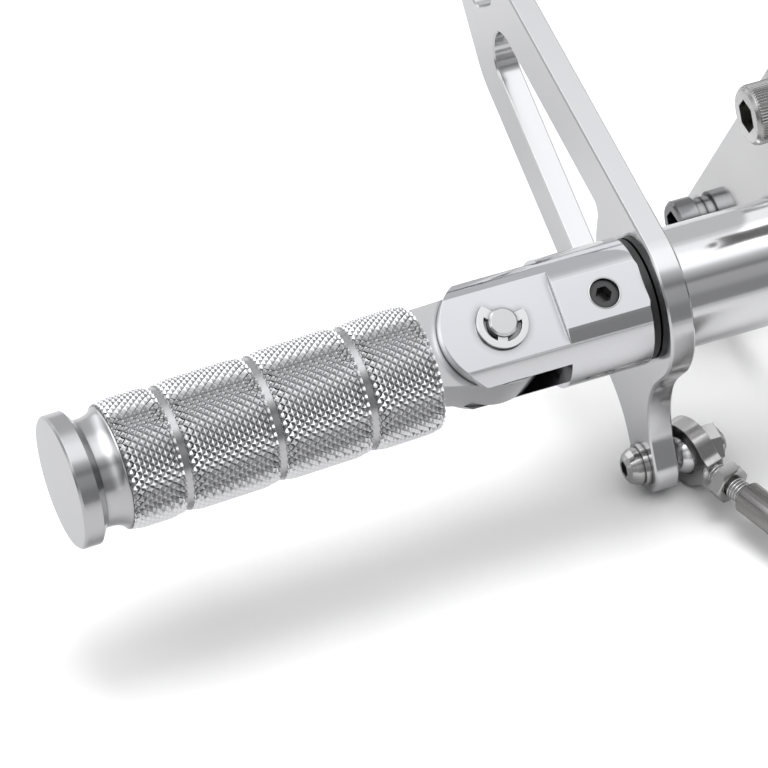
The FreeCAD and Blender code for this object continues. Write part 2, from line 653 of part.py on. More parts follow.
turn(peg, grip)
tang = sketch(peg, "XY_Plane", "tang")
belt(tang, (
    (TANG_END + "-tang_corner", "tang_side-tang_corner", "tang_corner", 1),
    ("-grip_start-tang_corner", "tang_side-tang_corner", "tang_corner", 1),
    ("-grip_start-tang_corner", "tang_corner-tang_waist", "tang_corner", 1),
    ("0", "peg_offset", "tang_round", 1),
))
pad(peg, tang, "tang_half*2", middle=True)
peg_hole = sketch(peg, "XY_Plane", "pin_hole")
circle(peg_hole, "0", "peg_offset", "pin_radius+running_gap")
pocket(peg, peg_hole, "clevis_radius*4", middle=True)
place(
    peg,
    PIN_X + "+peg_offset*sin(peg_droop)",
    "-peg_offset*cos(peg_droop)*cos(clevis_roll)",
    "-peg_offset*cos(peg_droop)*sin(clevis_roll)",
    CLEVIS_TURN + "*rotation(vector(0;0;1); peg_droop)",
)

# Shift lever: a flat plate with a hub, a downward arm for the linkage and a
# long forward arm that bends up to the toe peg, lightened by two slots.
ARM = ("-arm_back", "-arm_drop")
ARM_SPAN = "sqrt(arm_back^2+arm_drop^2)"
FRONT_REACH = "(arm_eye+arm_front_radius+blend_run)"
REAR_HUB = "(hub_radius+arm_rear_radius+blend_run)"
REAR_EYE = "(arm_eye+arm_rear_radius+blend_run)"
REAR_SPREAD = "acos((%s^2+%s^2-%s^2)/(2*%s*%s))" % (REAR_HUB, ARM_SPAN, REAR_EYE, REAR_HUB, ARM_SPAN)
REAR_TURN = "(270deg-atan(arm_back/arm_drop)-%s)" % REAR_SPREAD
lever = new_body("shift_lever")
outline = sketch(lever, "YZ_Plane", "outline")
belt(outline, (
    ("0", "0", "hub_radius", 1),
    ("%s*cos(%s)" % (REAR_HUB, REAR_TURN), "%s*sin(%s)" % (REAR_HUB, REAR_TURN), "arm_rear_radius", -1),
    (ARM[0], ARM[1], "arm_eye", 1),
    (
        ARM[0] + "+%s*cos(arm_front_turn)" % FRONT_REACH,
        ARM[1] + "-%s*sin(arm_front_turn)" % FRONT_REACH,
        "arm_front_radius",
        -1,
    ),
    ("bend_y", "bend_z", "bend_radius", 1),
    ("toe_y", "toe_z", "toe_eye", 1),
    ("bend_y-crook_dy", "bend_z+crook_dz", "crook_radius", -1),
))
pad(lever, outline, "lever_thick", back=True)
slots = sketch(lever, "YZ_Plane", "slots")
TOP_REACH = "(slot_hub_radius+slot_top_radius+blend_run)"
LOW_REACH = "(slot_hub_radius+slot_low_radius+blend_run)"
belt(slots, (
    ("bend_y-slot_end_dy", "bend_z", "slot_end_radius", 1),
    (TOP_REACH + "*cos(slot_top_turn)", TOP_REACH + "*sin(slot_top_turn)", "slot_top_radius", 1),
    ("0", "0", "slot_hub_radius", -1),
    (LOW_REACH + "*cos(slot_low_turn)", "-%s*sin(slot_low_turn)" % LOW_REACH, "slot_low_radius", 1),
))
belt(slots, (
    ("bend_y+window_low_dy", "bend_z+window_low_dz", "window_low_radius", 1),
    ("toe_y-window_end_dy", "toe_z-window_end_dz", "window_end_radius", 1),
    ("bend_y+window_top_dy", "bend_z+window_top_dz", "window_top_radius", 1),
))
pocket(lever, slots)
chamfer(lever, broad_face, "edge_break")
holes = sketch(lever, "YZ_Plane", "holes")
circle(holes, "0", "0", "bush_radius+fit_gap")
circle(holes, ARM[0], ARM[1], "arm_screw_radius+arm_hole_gap")
circle(holes, "toe_y", "toe_z", "toe_screw_radius+arm_hole_gap")
pocket(lever, holes)
place(lever, "-" + LEVER_IN)

bushing = turned("lever_bushing", (
    ("0", "shaft_radius+running_gap"),
    ("0", "bush_radius"),
    ("-lever_thick", "bush_radius"),
    ("-lever_thick", "shaft_radius+running_gap"),
))
place(bushing, "-" + LEVER_IN)

# Bolt stack at the end of the downward arm: button head and washer outboard,
# spacer, ball and lock nut inboard.
head_x = "(-lever_thick-arm_washer_thick)"
shank_end = "(spacer_length+2*ball_half+lock_nut_tall+lock_dome_tall+arm_screw_past)"
arm_screw = turned("arm_screw", (
    (head_x + "-arm_head_tall", "0"),
    (head_x + "-arm_head_tall", "arm_head_radius*0.55"),
    (head_x + "-arm_head_tall*0.8", "arm_head_radius*0.8"),
    (head_x + "-arm_head_tall*0.45", "arm_head_radius*0.96"),
    (head_x + "-arm_head_tall*0.15", "arm_head_radius"),
    (head_x, "arm_head_radius"),
    (head_x, "arm_screw_radius"),
    (shank_end + "-edge_break", "arm_screw_radius"),
    (shank_end, "arm_screw_radius-edge_break"),
    (shank_end, "0"),
))
hex_socket(arm_screw, head_x + "-arm_head_tall", "arm_head_flats", "arm_socket_deep", True)
place(arm_screw, "-" + LEVER_IN, ARM[0], ARM[1])

arm_washer = turned("arm_screw_washer", (
    ("-lever_thick", "arm_screw_radius+arm_hole_gap"),
    ("-lever_thick", "arm_washer_radius"),
    ("-lever_thick-arm_washer_thick", "arm_washer_radius"),
    ("-lever_thick-arm_washer_thick", "arm_screw_radius+arm_hole_gap"),
))
place(arm_washer, "-" + LEVER_IN, ARM[0], ARM[1])

spacer = turned("ball_spacer", (
    ("0", "arm_screw_radius+arm_hole_gap"),
    ("0", "spacer_radius"),
    ("spacer_length", "spacer_radius"),
    ("spacer_length", "arm_screw_radius+arm_hole_gap"),
))
place(spacer, "-" + LEVER_IN, ARM[0], ARM[1])


def rod_ball(name):
    """A ball with flat ends and a bore along X, about its own middle."""
    body = new_body(name)
    drawn = sketch(body, "XZ_Plane", "profile")
    half = num("ball_half")
    radius = num("ball_radius")
    bore_radius = num("arm_screw_radius+ball_bore_gap")
    lip = (radius ** 2 - half ** 2) ** 0.5
    start = atan2(lip, half)
    sphere = Part.Circle(Vector(0, 0, 0), Vector(0, 0, 1), radius)
    arc = drawn.addGeometry(Part.ArcOfCircle(sphere, start, pi - start), False)
    spots = (
        Vector(-half, lip, 0),
        Vector(-half, bore_radius, 0),
        Vector(half, bore_radius, 0),
        Vector(half, lip, 0),
    )
    runs = []
    for a, b in zip(spots, spots[1:]):
        runs.append(drawn.addGeometry(Part.LineSegment(a, b), False))
    for ends in ((arc, 2, runs[0], 1), (runs[0], 2, runs[1], 1), (runs[1], 2, runs[2], 1), (runs[2], 2, arc, 1)):
        drawn.addConstraint(Sketcher.Constraint("Coincident", *ends))
    drawn.addConstraint(Sketcher.Constraint("Coincident", arc, 3, -1, 1))
    drawn.addConstraint(Sketcher.Constraint("Vertical", runs[0]))
    drawn.addConstraint(Sketcher.Constraint("Vertical", runs[2]))
    hold(drawn, "Radius", (arc,), "ball_radius")
    pin_point(drawn, runs[1], 1, "-ball_half", "arm_screw_radius+ball_bore_gap")
    pin_point(drawn, runs[1], 2, "ball_half", "arm_screw_radius+ball_bore_gap")
    turn(body, drawn)
    return body


ball = rod_ball("rod_end_ball")
place(ball, BALL_X, ARM[0], ARM[1])

lock_nut = turned("arm_lock_nut", (
    ("0", "arm_screw_radius+thread_gap"),
    ("0", "nut_face"),
    ("(nut_flats/sqrt(3)-nut_face)*tan(30)", "nut_flats/sqrt(3)"),
    ("lock_nut_tall", "nut_flats/sqrt(3)"),
    ("lock_nut_tall", "nut_flats*0.47"),
    ("lock_nut_tall+lock_dome_tall*0.6", "nut_flats*0.44"),
    ("lock_nut_tall+lock_dome_tall", "nut_flats*0.36"),
    ("lock_nut_tall+lock_dome_tall", "arm_screw_radius+thread_gap"),
))
trim_to_hexagon(lock_nut, "nut_flats", "lock_nut_tall")
place(lock_nut, BALL_X + "+ball_half", ARM[0], ARM[1])

# Linkage rod. In its own frame X runs along the rod from the front ball and Y
# is the axis of both eyes.
ROD_TURN = "rotation(rod_toe_in-90;-rod_rise;0)"
REAR_ROD_TURN = "rotation(rod_toe_in+90;rod_rise;0)"
REAR_BALL = (
    "%s+%s*cos(rod_rise)*sin(rod_toe_in)" % (BALL_X, ROD_SPAN),
    "-arm_back-%s*cos(rod_rise)*cos(rod_toe_in)" % ROD_SPAN,
    "-arm_drop+%s*sin(rod_rise)" % ROD_SPAN,
)


def rod_eye(name):
    """A rod end: an eye with a ball seat, a neck and a threaded shank."""
    body = new_body(name)
    flat = sketch(body, "XZ_Plane", "eye")
    away = "(ring_radius+rod_neck_blend+blend_run)"
    out = "(rod_neck_radius+rod_neck_blend)"
    belt(flat, (
        ("0", "0", "ring_radius", 1),
        ("sqrt(%s^2-%s^2)" % (away, out), "-" + out, "rod_neck_blend", -1),
        ("rod_neck_end-rod_chamfer", "rod_chamfer-rod_neck_radius", "rod_chamfer", 1),
        ("rod_neck_end-rod_chamfer", "rod_neck_radius-rod_chamfer", "rod_chamfer", 1),
        ("sqrt(%s^2-%s^2)" % (away, out), out, "rod_neck_blend", -1),
    ))
    pad(body, flat, "ring_half*2", middle=True)
    shank = sketch(body, "XZ_Plane", "shank")
    shank_from = "(ring_radius-rod_chamfer)"
    polygon(shank, (
        (shank_from, "0"),
        (shank_from, "ring_half"),
        (shank_from + "+(rod_neck_radius-ring_half)", "rod_neck_radius"),
        ("rod_neck_end-rod_chamfer", "rod_neck_radius"),
        ("rod_neck_end", "rod_neck_radius-rod_chamfer"),
        ("rod_neck_end", "rod_thread_radius"),
        ("rod_start+rod_engaged-edge_break", "rod_thread_radius"),
        ("rod_start+rod_engaged", "rod_thread_radius-edge_break"),
        ("rod_start+rod_engaged", "0"),
    ))
    turn(body, shank)
    seat = sketch(body, "XY_Plane", "seat")
    radius = num("ball_radius+running_gap")
    half = num("ring_half*1.1")
    lip = (radius ** 2 - half ** 2) ** 0.5
    start = atan2(half, lip)
    hollow = Part.Circle(Vector(0, 0, 0), Vector(0, 0, 1), radius)
    arc = seat.addGeometry(Part.ArcOfCircle(hollow, -start, start), False)
    spots = (Vector(lip, half, 0), Vector(0, half, 0), Vector(0, -half, 0), Vector(lip, -half, 0))
    runs = []
    for a, b in zip(spots, spots[1:]):
        runs.append(seat.addGeometry(Part.LineSegment(a, b), False))
    for ends in ((arc, 2, runs[0], 1), (runs[0], 2, runs[1], 1), (runs[1], 2, runs[2], 1), (runs[2], 2, arc, 1)):
        seat.addConstraint(Sketcher.Constraint("Coincident", *ends))
    seat.addConstraint(Sketcher.Constraint("Coincident", arc, 3, -1, 1))
    seat.addConstraint(Sketcher.Constraint("Horizontal", runs[0]))
    seat.addConstraint(Sketcher.Constraint("Horizontal", runs[2]))
    hold(seat, "Radius", (arc,), "ball_radius+running_gap")
    pin_point(seat, runs[1], 1, "0", "ring_half*1.1")
    pin_point(seat, runs[1], 2, "0", "-ring_half*1.1")
    turn(body, seat, "V_Axis", "Groove")
    return body


def jam_nut(name):
    body = turned(name, (
        ("0", "rod_thread_radius+thread_gap"),
        ("0", "nut_face"),
        ("(nut_flats/sqrt(3)-nut_face)*tan(30)", "nut_flats/sqrt(3)"),
        ("jam_nut_tall-(nut_flats/sqrt(3)-nut_face)*tan(30)", "nut_flats/sqrt(3)"),
        ("jam_nut_tall", "nut_face"),
        ("jam_nut_tall", "rod_thread_radius+thread_gap"),
    ))
    trim_to_hexagon(body, "nut_flats", "jam_nut_tall")
    return body


def along_rod(reach):
    """A point on the rod's axis, as three formulas."""
    return (
        "%s+(%s)*cos(rod_rise)*sin(rod_toe_in)" % (BALL_X, reach),
        "-arm_back-(%s)*cos(rod_rise)*cos(rod_toe_in)" % reach,
        "-arm_drop+(%s)*sin(rod_rise)" % reach,
    )


front_eye = rod_eye("rod_end_body")
place(front_eye, BALL_X, ARM[0], ARM[1], ROD_TURN)
front_nut = jam_nut("front_jam_nut")
place(front_nut, *along_rod("jam_nut_at"), ROD_TURN)

bar = turned("linkage_rod", (
    ("0", "rod_thread_radius+thread_gap"),
    ("0", "rod_radius-rod_chamfer"),
    ("rod_chamfer", "rod_radius"),
    ("rod_length-rod_chamfer", "rod_radius"),
    ("rod_length", "rod_radius-rod_chamfer"),
    ("rod_length", "rod_thread_radius+thread_gap"),
    ("rod_length-rod_bore_deep", "rod_thread_radius+thread_gap"),
    ("rod_length-rod_bore_deep", "0"),
    ("rod_bore_deep", "0"),
    ("rod_bore_deep", "rod_thread_radius+thread_gap"),
))
place(bar, *along_rod("rod_start"), ROD_TURN)

rear_eye = rod_eye("rear_rod_end_body")
place(rear_eye, *REAR_BALL, REAR_ROD_TURN)
rear_nut = jam_nut("rear_jam_nut")
place(rear_nut, *along_rod(ROD_SPAN + "-jam_nut_at"), REAR_ROD_TURN)
rear_ball = rod_ball("rear_rod_end_ball")
place(rear_ball, *REAR_BALL, "rotation(rod_toe_in;0;0)")

# Toe peg at the lever's forward end, with the screw that holds it from the
# inboard side.
profile = [("0", "toe_screw_radius+thread_gap"), ("0", "toe_foot_radius")]
profile.append(("-toe_foot_length", "toe_foot_radius"))
profile.append(("-toe_foot_length", "toe_peg_radius"))
for i in (1, 2, 3):
    at = "-toe_foot_length-%d*toe_groove_step" % i
    profile.append((at + "+groove_half", "toe_peg_radius"))
    profile.append((at + "+groove_half", "toe_peg_radius-toe_groove_deep"))
    profile.append((at + "-groove_half", "toe_peg_radius-toe_groove_deep"))
    profile.append((at + "-groove_half", "toe_peg_radius"))
profile.append(("head_chamfer-toe_peg_length", "toe_peg_radius"))
profile.append(("-toe_peg_length", "toe_peg_radius-head_chamfer"))
profile.append(("-toe_peg_length", "0"))
profile.append(("-toe_screw_deep-head_chamfer", "0"))
profile.append(("-toe_screw_deep-head_chamfer", "toe_screw_radius+thread_gap"))
toe_peg = turned("toe_peg", profile)
place(toe_peg, "-" + LEVER_OUT, "toe_y", "toe_z")

toe_screw = turned("toe_peg_screw", (
    ("-lever_thick-toe_screw_deep", "0"),
    ("-lever_thick-toe_screw_deep", "toe_screw_radius-edge_break"),
    ("edge_break-lever_thick-toe_screw_deep", "toe_screw_radius"),
    ("0", "toe_screw_radius"),
    ("0", "toe_head_radius"),
    ("toe_head_tall*0.3", "toe_head_radius"),
    ("toe_head_tall*0.75", "toe_head_radius*0.85"),
    ("toe_head_tall", "toe_head_radius*0.55"),
    ("toe_head_tall", "0"),
))
hex_socket(toe_screw, "toe_head_tall", "toe_head_flats", "toe_head_tall*0.65", False)
place(toe_screw, "-" + LEVER_IN, "toe_y", "toe_z")

doc.recompute()

bodies = [item for item in doc.Objects if item.TypeId == "PartDesign::Body"]
for item in doc.Objects:
    if "Invalid" in item.State or "Error" in item.State:
        raise RuntimeError("%s is in state %s" % (item.Name, item.State))
    if item.TypeId in ("PartDesign::Pocket", "PartDesign::Groove"):
        if item.BaseFeature.Shape.Volume - item.Shape.Volume < 0.1:
            raise RuntimeError("%s cuts nothing" % item.Name)
for item in bodies:
    if item.Shape.isNull() or not item.Shape.isValid() or len(item.Shape.Solids) != 1:
        raise RuntimeError("%s has no sound solid" % item.Name)

os.makedirs("parts", exist_ok=True)
for item in bodies:
    item.Shape.exportStep("parts/%s.step" % item.Label)
    box = item.Shape.BoundBox
    print("%-20s volume %9.1f  x %7.2f %7.2f  y %7.2f %7.2f  z %7.2f %7.2f" % (
        item.Label, item.Shape.Volume,
        box.XMin, box.XMax, box.YMin, box.YMax, box.ZMin, box.ZMax,
    ))
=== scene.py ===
# %% [markdown]
# A left-hand motorcycle forward control on a white table: a knurled foot peg
# that folds in a clevis, a slotted shift lever on the same shaft, a linkage rod
# with ball ends and the plate that bolts it all to the frame. Every rigid piece
# comes in as a finished solid. This script gives them their metal, cuts the
# knurl and the threads, and lights them as in a product photograph. X runs along
# the pivot shaft towards the motorcycle, Z is up, and one unit is a metre.

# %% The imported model
import bpy
import bmesh
import json
import math
from mathutils import Matrix, Vector

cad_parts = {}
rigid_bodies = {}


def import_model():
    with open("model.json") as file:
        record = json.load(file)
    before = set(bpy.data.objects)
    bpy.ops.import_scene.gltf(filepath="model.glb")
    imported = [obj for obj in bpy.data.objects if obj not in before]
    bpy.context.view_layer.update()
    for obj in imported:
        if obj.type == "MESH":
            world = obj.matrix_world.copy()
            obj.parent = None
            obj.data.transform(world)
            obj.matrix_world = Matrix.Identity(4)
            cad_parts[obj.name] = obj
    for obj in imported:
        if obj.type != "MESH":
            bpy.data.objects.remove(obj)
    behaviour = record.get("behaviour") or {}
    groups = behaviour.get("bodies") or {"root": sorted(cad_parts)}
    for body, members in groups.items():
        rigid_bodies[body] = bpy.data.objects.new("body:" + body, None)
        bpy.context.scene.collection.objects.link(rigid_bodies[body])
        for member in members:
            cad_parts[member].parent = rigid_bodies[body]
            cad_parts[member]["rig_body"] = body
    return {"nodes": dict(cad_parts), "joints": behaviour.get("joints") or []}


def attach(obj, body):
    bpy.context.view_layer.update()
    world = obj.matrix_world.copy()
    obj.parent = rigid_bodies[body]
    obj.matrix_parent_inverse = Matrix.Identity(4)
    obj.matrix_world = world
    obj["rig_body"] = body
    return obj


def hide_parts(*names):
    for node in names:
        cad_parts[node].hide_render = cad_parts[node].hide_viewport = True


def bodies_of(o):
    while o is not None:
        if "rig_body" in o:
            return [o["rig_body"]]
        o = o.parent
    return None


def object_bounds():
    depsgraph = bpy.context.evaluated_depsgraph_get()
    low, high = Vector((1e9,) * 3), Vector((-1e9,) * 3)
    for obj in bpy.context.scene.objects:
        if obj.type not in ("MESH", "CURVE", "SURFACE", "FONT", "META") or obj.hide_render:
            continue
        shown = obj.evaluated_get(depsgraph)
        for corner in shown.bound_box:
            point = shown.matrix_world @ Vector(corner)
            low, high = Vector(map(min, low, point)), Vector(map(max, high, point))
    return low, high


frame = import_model()
nodes = frame["nodes"]
cad_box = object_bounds()
MM = 0.001

# %% [markdown]
# The camera stands more than a metre away behind and above the outer end of the
# peg, and looks down at about 45 degrees with a long lens, so parallel edges
# stay nearly parallel. It could be aimed at a point by a constraint. Here its
# right and up directions are written out, which leaves no doubt about roll.

# %% Camera
CAMERA_SPOT = (-0.4742, -0.8652, 0.9202)
CAMERA_RIGHT = Vector((0.9272, -0.3744, 0.0))
CAMERA_UP = Vector((0.2637, 0.6529, 0.7101))
camera_data = bpy.data.cameras.new("photo_camera")
camera_data.sensor_width = 36.0
camera_data.lens = 234.4
camera_data.clip_start = 0.1
camera_data.clip_end = 50.0
camera = bpy.data.objects.new("photo_camera", camera_data)
bpy.context.scene.collection.objects.link(camera)
camera_back = CAMERA_RIGHT.cross(CAMERA_UP)
turn = Matrix((CAMERA_RIGHT, CAMERA_UP, camera_back)).transposed().to_4x4()
camera.matrix_world = Matrix.Translation(CAMERA_SPOT) @ turn
bpy.context.scene.camera = camera
print("camera looks along", [round(-v, 3) for v in camera_back])

# %% [markdown]
# A material in Blender is a small program of nodes. It could be wired by hand,
# but a script reads better when one line makes a node and says what each of its
# sockets holds. The helpers below do only that. What a socket holds is either a
# plain value, or the socket of another node, which is then wired in.

# %% Helpers for nodes


def wire(tree, source, target):
    tree.links.new(source, target)


def feed(tree, target, value):
    """Wires another node's socket into the target, or sets a plain value."""
    if isinstance(value, bpy.types.NodeSocket):
        wire(tree, value, target)
    else:
        target.default_value = value


def node(tree, kind, spot=(0, 0), **values):
    """A new node. Names in small letters are its settings, others its sockets."""
    made = tree.nodes.new(kind)
    made.location = spot
    settings = [name for name in values if name.islower()]
    for name in settings:
        setattr(made, name, values.pop(name))
    for name, value in values.items():
        feed(tree, made.inputs[name.replace("_", " ")], value)
    return made


print("helpers: wire, feed, node")

# %% [markdown]
# Two kinds of node turn up again and again: sums, and mixes of two colours. Their
# sockets share one name, so they can only be told apart by their order. These
# helpers hide that order and hand back the one output that is wanted.

# %% Helpers for sums and mixes


def calc(tree, operation, spot, *terms, clamp=False):
    """The result of a sum on sockets or numbers."""
    made = node(tree, "ShaderNodeMath", spot, operation=operation, use_clamp=clamp)
    for target, term in zip(made.inputs, terms):
        feed(tree, target, term)
    return made.outputs[0]


def mix_colour(tree, blend, spot, share, first, second):
    """The colour that two colours give, with that share of the second."""
    made = node(tree, "ShaderNodeMix", spot, data_type="RGBA", blend_type=blend)
    for order, value in ((0, share), (6, first), (7, second)):
        feed(tree, made.inputs[order], value)
    return made.outputs[2]


print("helpers: calc, mix_colour")

# %% [markdown]
# What several materials share is best kept in one node group, with its own named
# sockets, so that a change is made once. A group needs the same few lines each
# time, to name its sockets and to give it a start and an end.

# %% Opening a group


def open_group(name, inputs, outputs):
    """A shader node group with named sockets, what it is given and its results."""
    tree = bpy.data.node_groups.new(name, "ShaderNodeTree")
    for label, kind, value in inputs:
        socket = tree.interface.new_socket(label, in_out="INPUT", socket_type="NodeSocket" + kind)
        if value is not None:
            socket.default_value = value
    for label, kind in outputs:
        tree.interface.new_socket(label, in_out="OUTPUT", socket_type="NodeSocket" + kind)
    start = node(tree, "NodeGroupInput", (-900, 0))
    end = node(tree, "NodeGroupOutput", (600, 0))
    return tree, start.outputs, end.inputs


print("helper: open_group")

# %% [markdown]
# Machined metal is never perfectly smooth. A cutter or an abrasive leaves fine
# lines that run one way, and handling leaves cloudy patches where the surface is
# a little duller. A picture of scratches could be laid over it, but noise needs
# no picture and no unwrapping, and it stays sharp at any distance. One noise is
# stretched until it becomes lines, another is large and soft. Together they move
# the roughness up and down.

# %% Group: machined finish, lines and clouds
tree, given, result = open_group(
    "machined_finish",
    (
        ("Vector", "Vector", None),
        ("Lines", "Vector", (4000.0, 200.0, 4000.0)),
        ("Depth", "Float", 0.1),
        ("Roughness", "Float", 0.25),
        ("Spread", "Float", 0.08),
        ("Clouds", "Float", 60.0),
        ("Edge", "Float", 0.0002),
        ("Reach", "Float", 0.0012),
    ),
    (("Roughness", "Float"), ("Normal", "Vector"), ("Tone", "Float"), ("Painted Shade", "Float")),
)
machined_finish = tree
stretch = node(tree, "ShaderNodeVectorMath", (-700, 200), operation="MULTIPLY")
wire(tree, given["Vector"], stretch.inputs[0])
wire(tree, given["Lines"], stretch.inputs[1])
lines = node(tree, "ShaderNodeTexNoise", (-500, 200), Vector=stretch.outputs[0],
             Scale=1.0, Detail=3.0, Roughness=0.6).outputs["Fac"]
clouds = node(tree, "ShaderNodeTexNoise", (-500, -100), Vector=given["Vector"],
              Scale=given["Clouds"], Detail=3.0, Roughness=0.55).outputs["Fac"]
both = calc(tree, "ADD", (-300, 0), lines, clouds)
centred = calc(tree, "SUBTRACT", (-150, 0), both, 1.0)
uneven = calc(tree, "MULTIPLY_ADD", (50, -100), centred, given["Spread"], given["Roughness"], clamp=True)
wire(tree, uneven, result["Roughness"])
wire(tree, clouds, result["Tone"])
print("group:", tree.name, "with", len(tree.nodes), "nodes so far")

# %% [markdown]
# Every machined edge is broken with a file or a chamfer tool, and that tiny round
# catches the light. It could be modelled as a bevel on each piece, at the cost of
# many faces. The bevel node only bends the surface's direction near an edge,
# which looks the same at this size. The same lines that change the roughness
# then stand up from the surface by a hair.

# %% Group: machined finish, broken edges
HAIR = 0.02 * MM
rounded = node(tree, "ShaderNodeBevel", (-150, 350), samples=4, Radius=given["Edge"])
relief = node(tree, "ShaderNodeBump", (50, 200), Distance=HAIR, Strength=given["Depth"],
              Height=lines, Normal=rounded.outputs["Normal"])
wire(tree, relief.outputs["Normal"], result["Normal"])
print("group:", tree.name, "with", len(tree.nodes), "nodes so far")

# %% [markdown]
# Narrow gaps and the feet of the knurl's diamonds lie in shade, because little of
# the room reaches them. That shade is painted into the metal's colour. Paint in
# the creases would need a mask by hand. Ambient occlusion measures how much of
# the surroundings a point can see, and the group gives that out as a mask of
# painted shade to darken the metal with.

# %% Group: machined finish, painted shade in crevices
open_sky = node(tree, "ShaderNodeAmbientOcclusion", (-150, -300), samples=4, Distance=given["Reach"])
painted_crevice_shade = node(tree, "ShaderNodeMapRange", (100, -300), Value=open_sky.outputs["AO"],
               From_Min=0.25, From_Max=0.90, To_Min=0.06)
wire(tree, painted_crevice_shade.outputs["Result"], result["Painted Shade"])
print("group:", tree.name, "nodes:", len(tree.nodes))

# %% [markdown]
# A lathe leaves rings, not straight lines. A ring pattern could be drawn on each
# turned piece by itself. But in a frame where X is the axis, the rings depend
# only on X and on the distance from the axis. So this group rewrites the
# coordinates that way, and the same machined finish reads them.

# %% Group: coordinates round an axis
tree, given, result = open_group(
    "round_an_axis",
    (("Vector", "Vector", None),),
    (("Vector", "Vector"),),
)
round_an_axis = tree
split = node(tree, "ShaderNodeSeparateXYZ", (-700, 0), Vector=given["Vector"]).outputs
across = node(tree, "ShaderNodeCombineXYZ", (-500, -100), Y=split["Y"], Z=split["Z"])
away = node(tree, "ShaderNodeVectorMath", (-300, -100), operation="LENGTH", Vector=across.outputs[0])
joined = node(tree, "ShaderNodeCombineXYZ", (-100, 0), X=split["X"], Y=away.outputs["Value"])
wire(tree, joined.outputs[0], result["Vector"])
print("group:", tree.name, "nodes:", len(tree.nodes))

# %% [markdown]
# Each finish is one Principled material, and both groups are placed in it with
# the finish's own values. The pattern reads Object coordinates, so it stays on
# the metal when a piece moves. The plain values sit on the shader's own sockets.

# %% A material with the machined finish


def on_lathe(tree, vector, point, axis):
    """Coordinates along and round an axis, in place of straight ones."""
    turn = Vector((1, 0, 0)).rotation_difference(axis).to_euler()
    shift = node(tree, "ShaderNodeMapping", (-950, 0), vector_type="TEXTURE",
                 Vector=vector, Location=point, Rotation=turn)
    rings = node(tree, "ShaderNodeGroup", (-800, 0), node_tree=round_an_axis, Vector=shift.outputs[0])
    return rings.outputs["Vector"]


def add_finish(tree, vector, **values):
    """The machined finish in a material, wired to its shader."""
    shader = tree.nodes["Principled BSDF"]
    finish = node(tree, "ShaderNodeGroup", (-550, 0), node_tree=machined_finish, Vector=vector, **values)
    wire(tree, finish.outputs["Roughness"], shader.inputs["Roughness"])
    wire(tree, finish.outputs["Normal"], shader.inputs["Normal"])
    return finish


print("helpers: on_lathe, add_finish")

# %% [markdown]
# What tells one metal from another is its colour, how sharply it mirrors and
# which way its lines run. Lines are given as how often the noise changes along
# X, Y and Z: a low number makes it run that way. On a turned piece the first
# number is along the axis and the second is away from it.

# %% A machined metal
ALONG_X = (200, 2500, 2500)
ALONG_Y = (4000, 200, 4000)
ALONG_LEVER = (3000, 300, 2500)
GRAIN = (2500, 2500, 2500)
FORGED = (900, 900, 900)
RINGS = (3000, 0, 0)
RINGS_ON_END = (0, 2600, 0)
PLAIN = (0, 0, 0)


def metal(name, colour, roughness, spread=0.06, lines=ALONG_Y, depth=0.1,
          turned=None, tone=0.0, edge=0.2 * MM, reach=1.2 * MM):
    """A machined metal. turned is (point on the axis, axis) for a lathe finish."""
    made = bpy.data.materials.new(name)
    made.use_nodes = True
    tree = made.node_tree
    shader = tree.nodes["Principled BSDF"]
    shader.inputs["Base Color"].default_value = (*colour, 1.0)
    shader.inputs["Metallic"].default_value = 1.0
    vector = node(tree, "ShaderNodeTexCoord", (-1100, 0)).outputs["Object"]
    if turned:
        vector = on_lathe(tree, vector, *turned)
    finish = add_finish(tree, vector, Lines=lines, Depth=depth, Roughness=roughness,
                        Spread=spread, Edge=edge, Reach=reach).outputs
    dark = (*[c * (1 - tone) for c in colour], 1.0)
    light = (*[min(1.0, c * (1 + tone)) for c in colour], 1.0)
    cloudy = mix_colour(tree, "MIX", (-300, 250), finish["Tone"], dark, light)
    # Painted shade: the crevice mask darkens the colour where little of the surroundings reaches.
    shaded = mix_colour(tree, "MULTIPLY", (-150, 250), 1.0, cloudy, finish["Painted Shade"])
    wire(tree, shaded, shader.inputs["Base Color"])
    return made


print("helper: metal")

# %% [markdown]
# The turned pieces have their rings round three axes. The shaft's is X itself.
# The peg's hinge pin and the balls at the rod's two ends could be typed in again,
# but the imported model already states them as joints, so they are read from
# there and can't drift apart from the solids.

# %% Axes of the turned pieces
joints = {joint["name"]: joint for joint in frame["joints"]}
pin_point = Vector(joints["peg_fold"]["pos_m"])
pin_axis = Vector(joints["peg_fold"]["axis"])
front_ball = Vector(joints["rod_swing"]["pos_m"])
rear_ball = Vector(joints["rear_ball_swivel"]["pos_m"])
rod_way = (rear_ball - front_ball).normalized()
SHAFT = (Vector(), Vector((1, 0, 0)))
PIN = (pin_point, pin_axis)
ROD = (front_ball, rod_way)
print("pin axis", tuple(pin_axis), "rod runs along", [round(v, 4) for v in rod_way])

# %% [markdown]
# The big pieces are bare aluminium. The plate, the tube and the clevis are
# polished, so they mirror sharply. The lever and the peg are only brushed, which
# spreads what they mirror. The bevel is off on the tube, whose long round face
# needs none, and small on the knurl, whose crests are finer than the usual one.

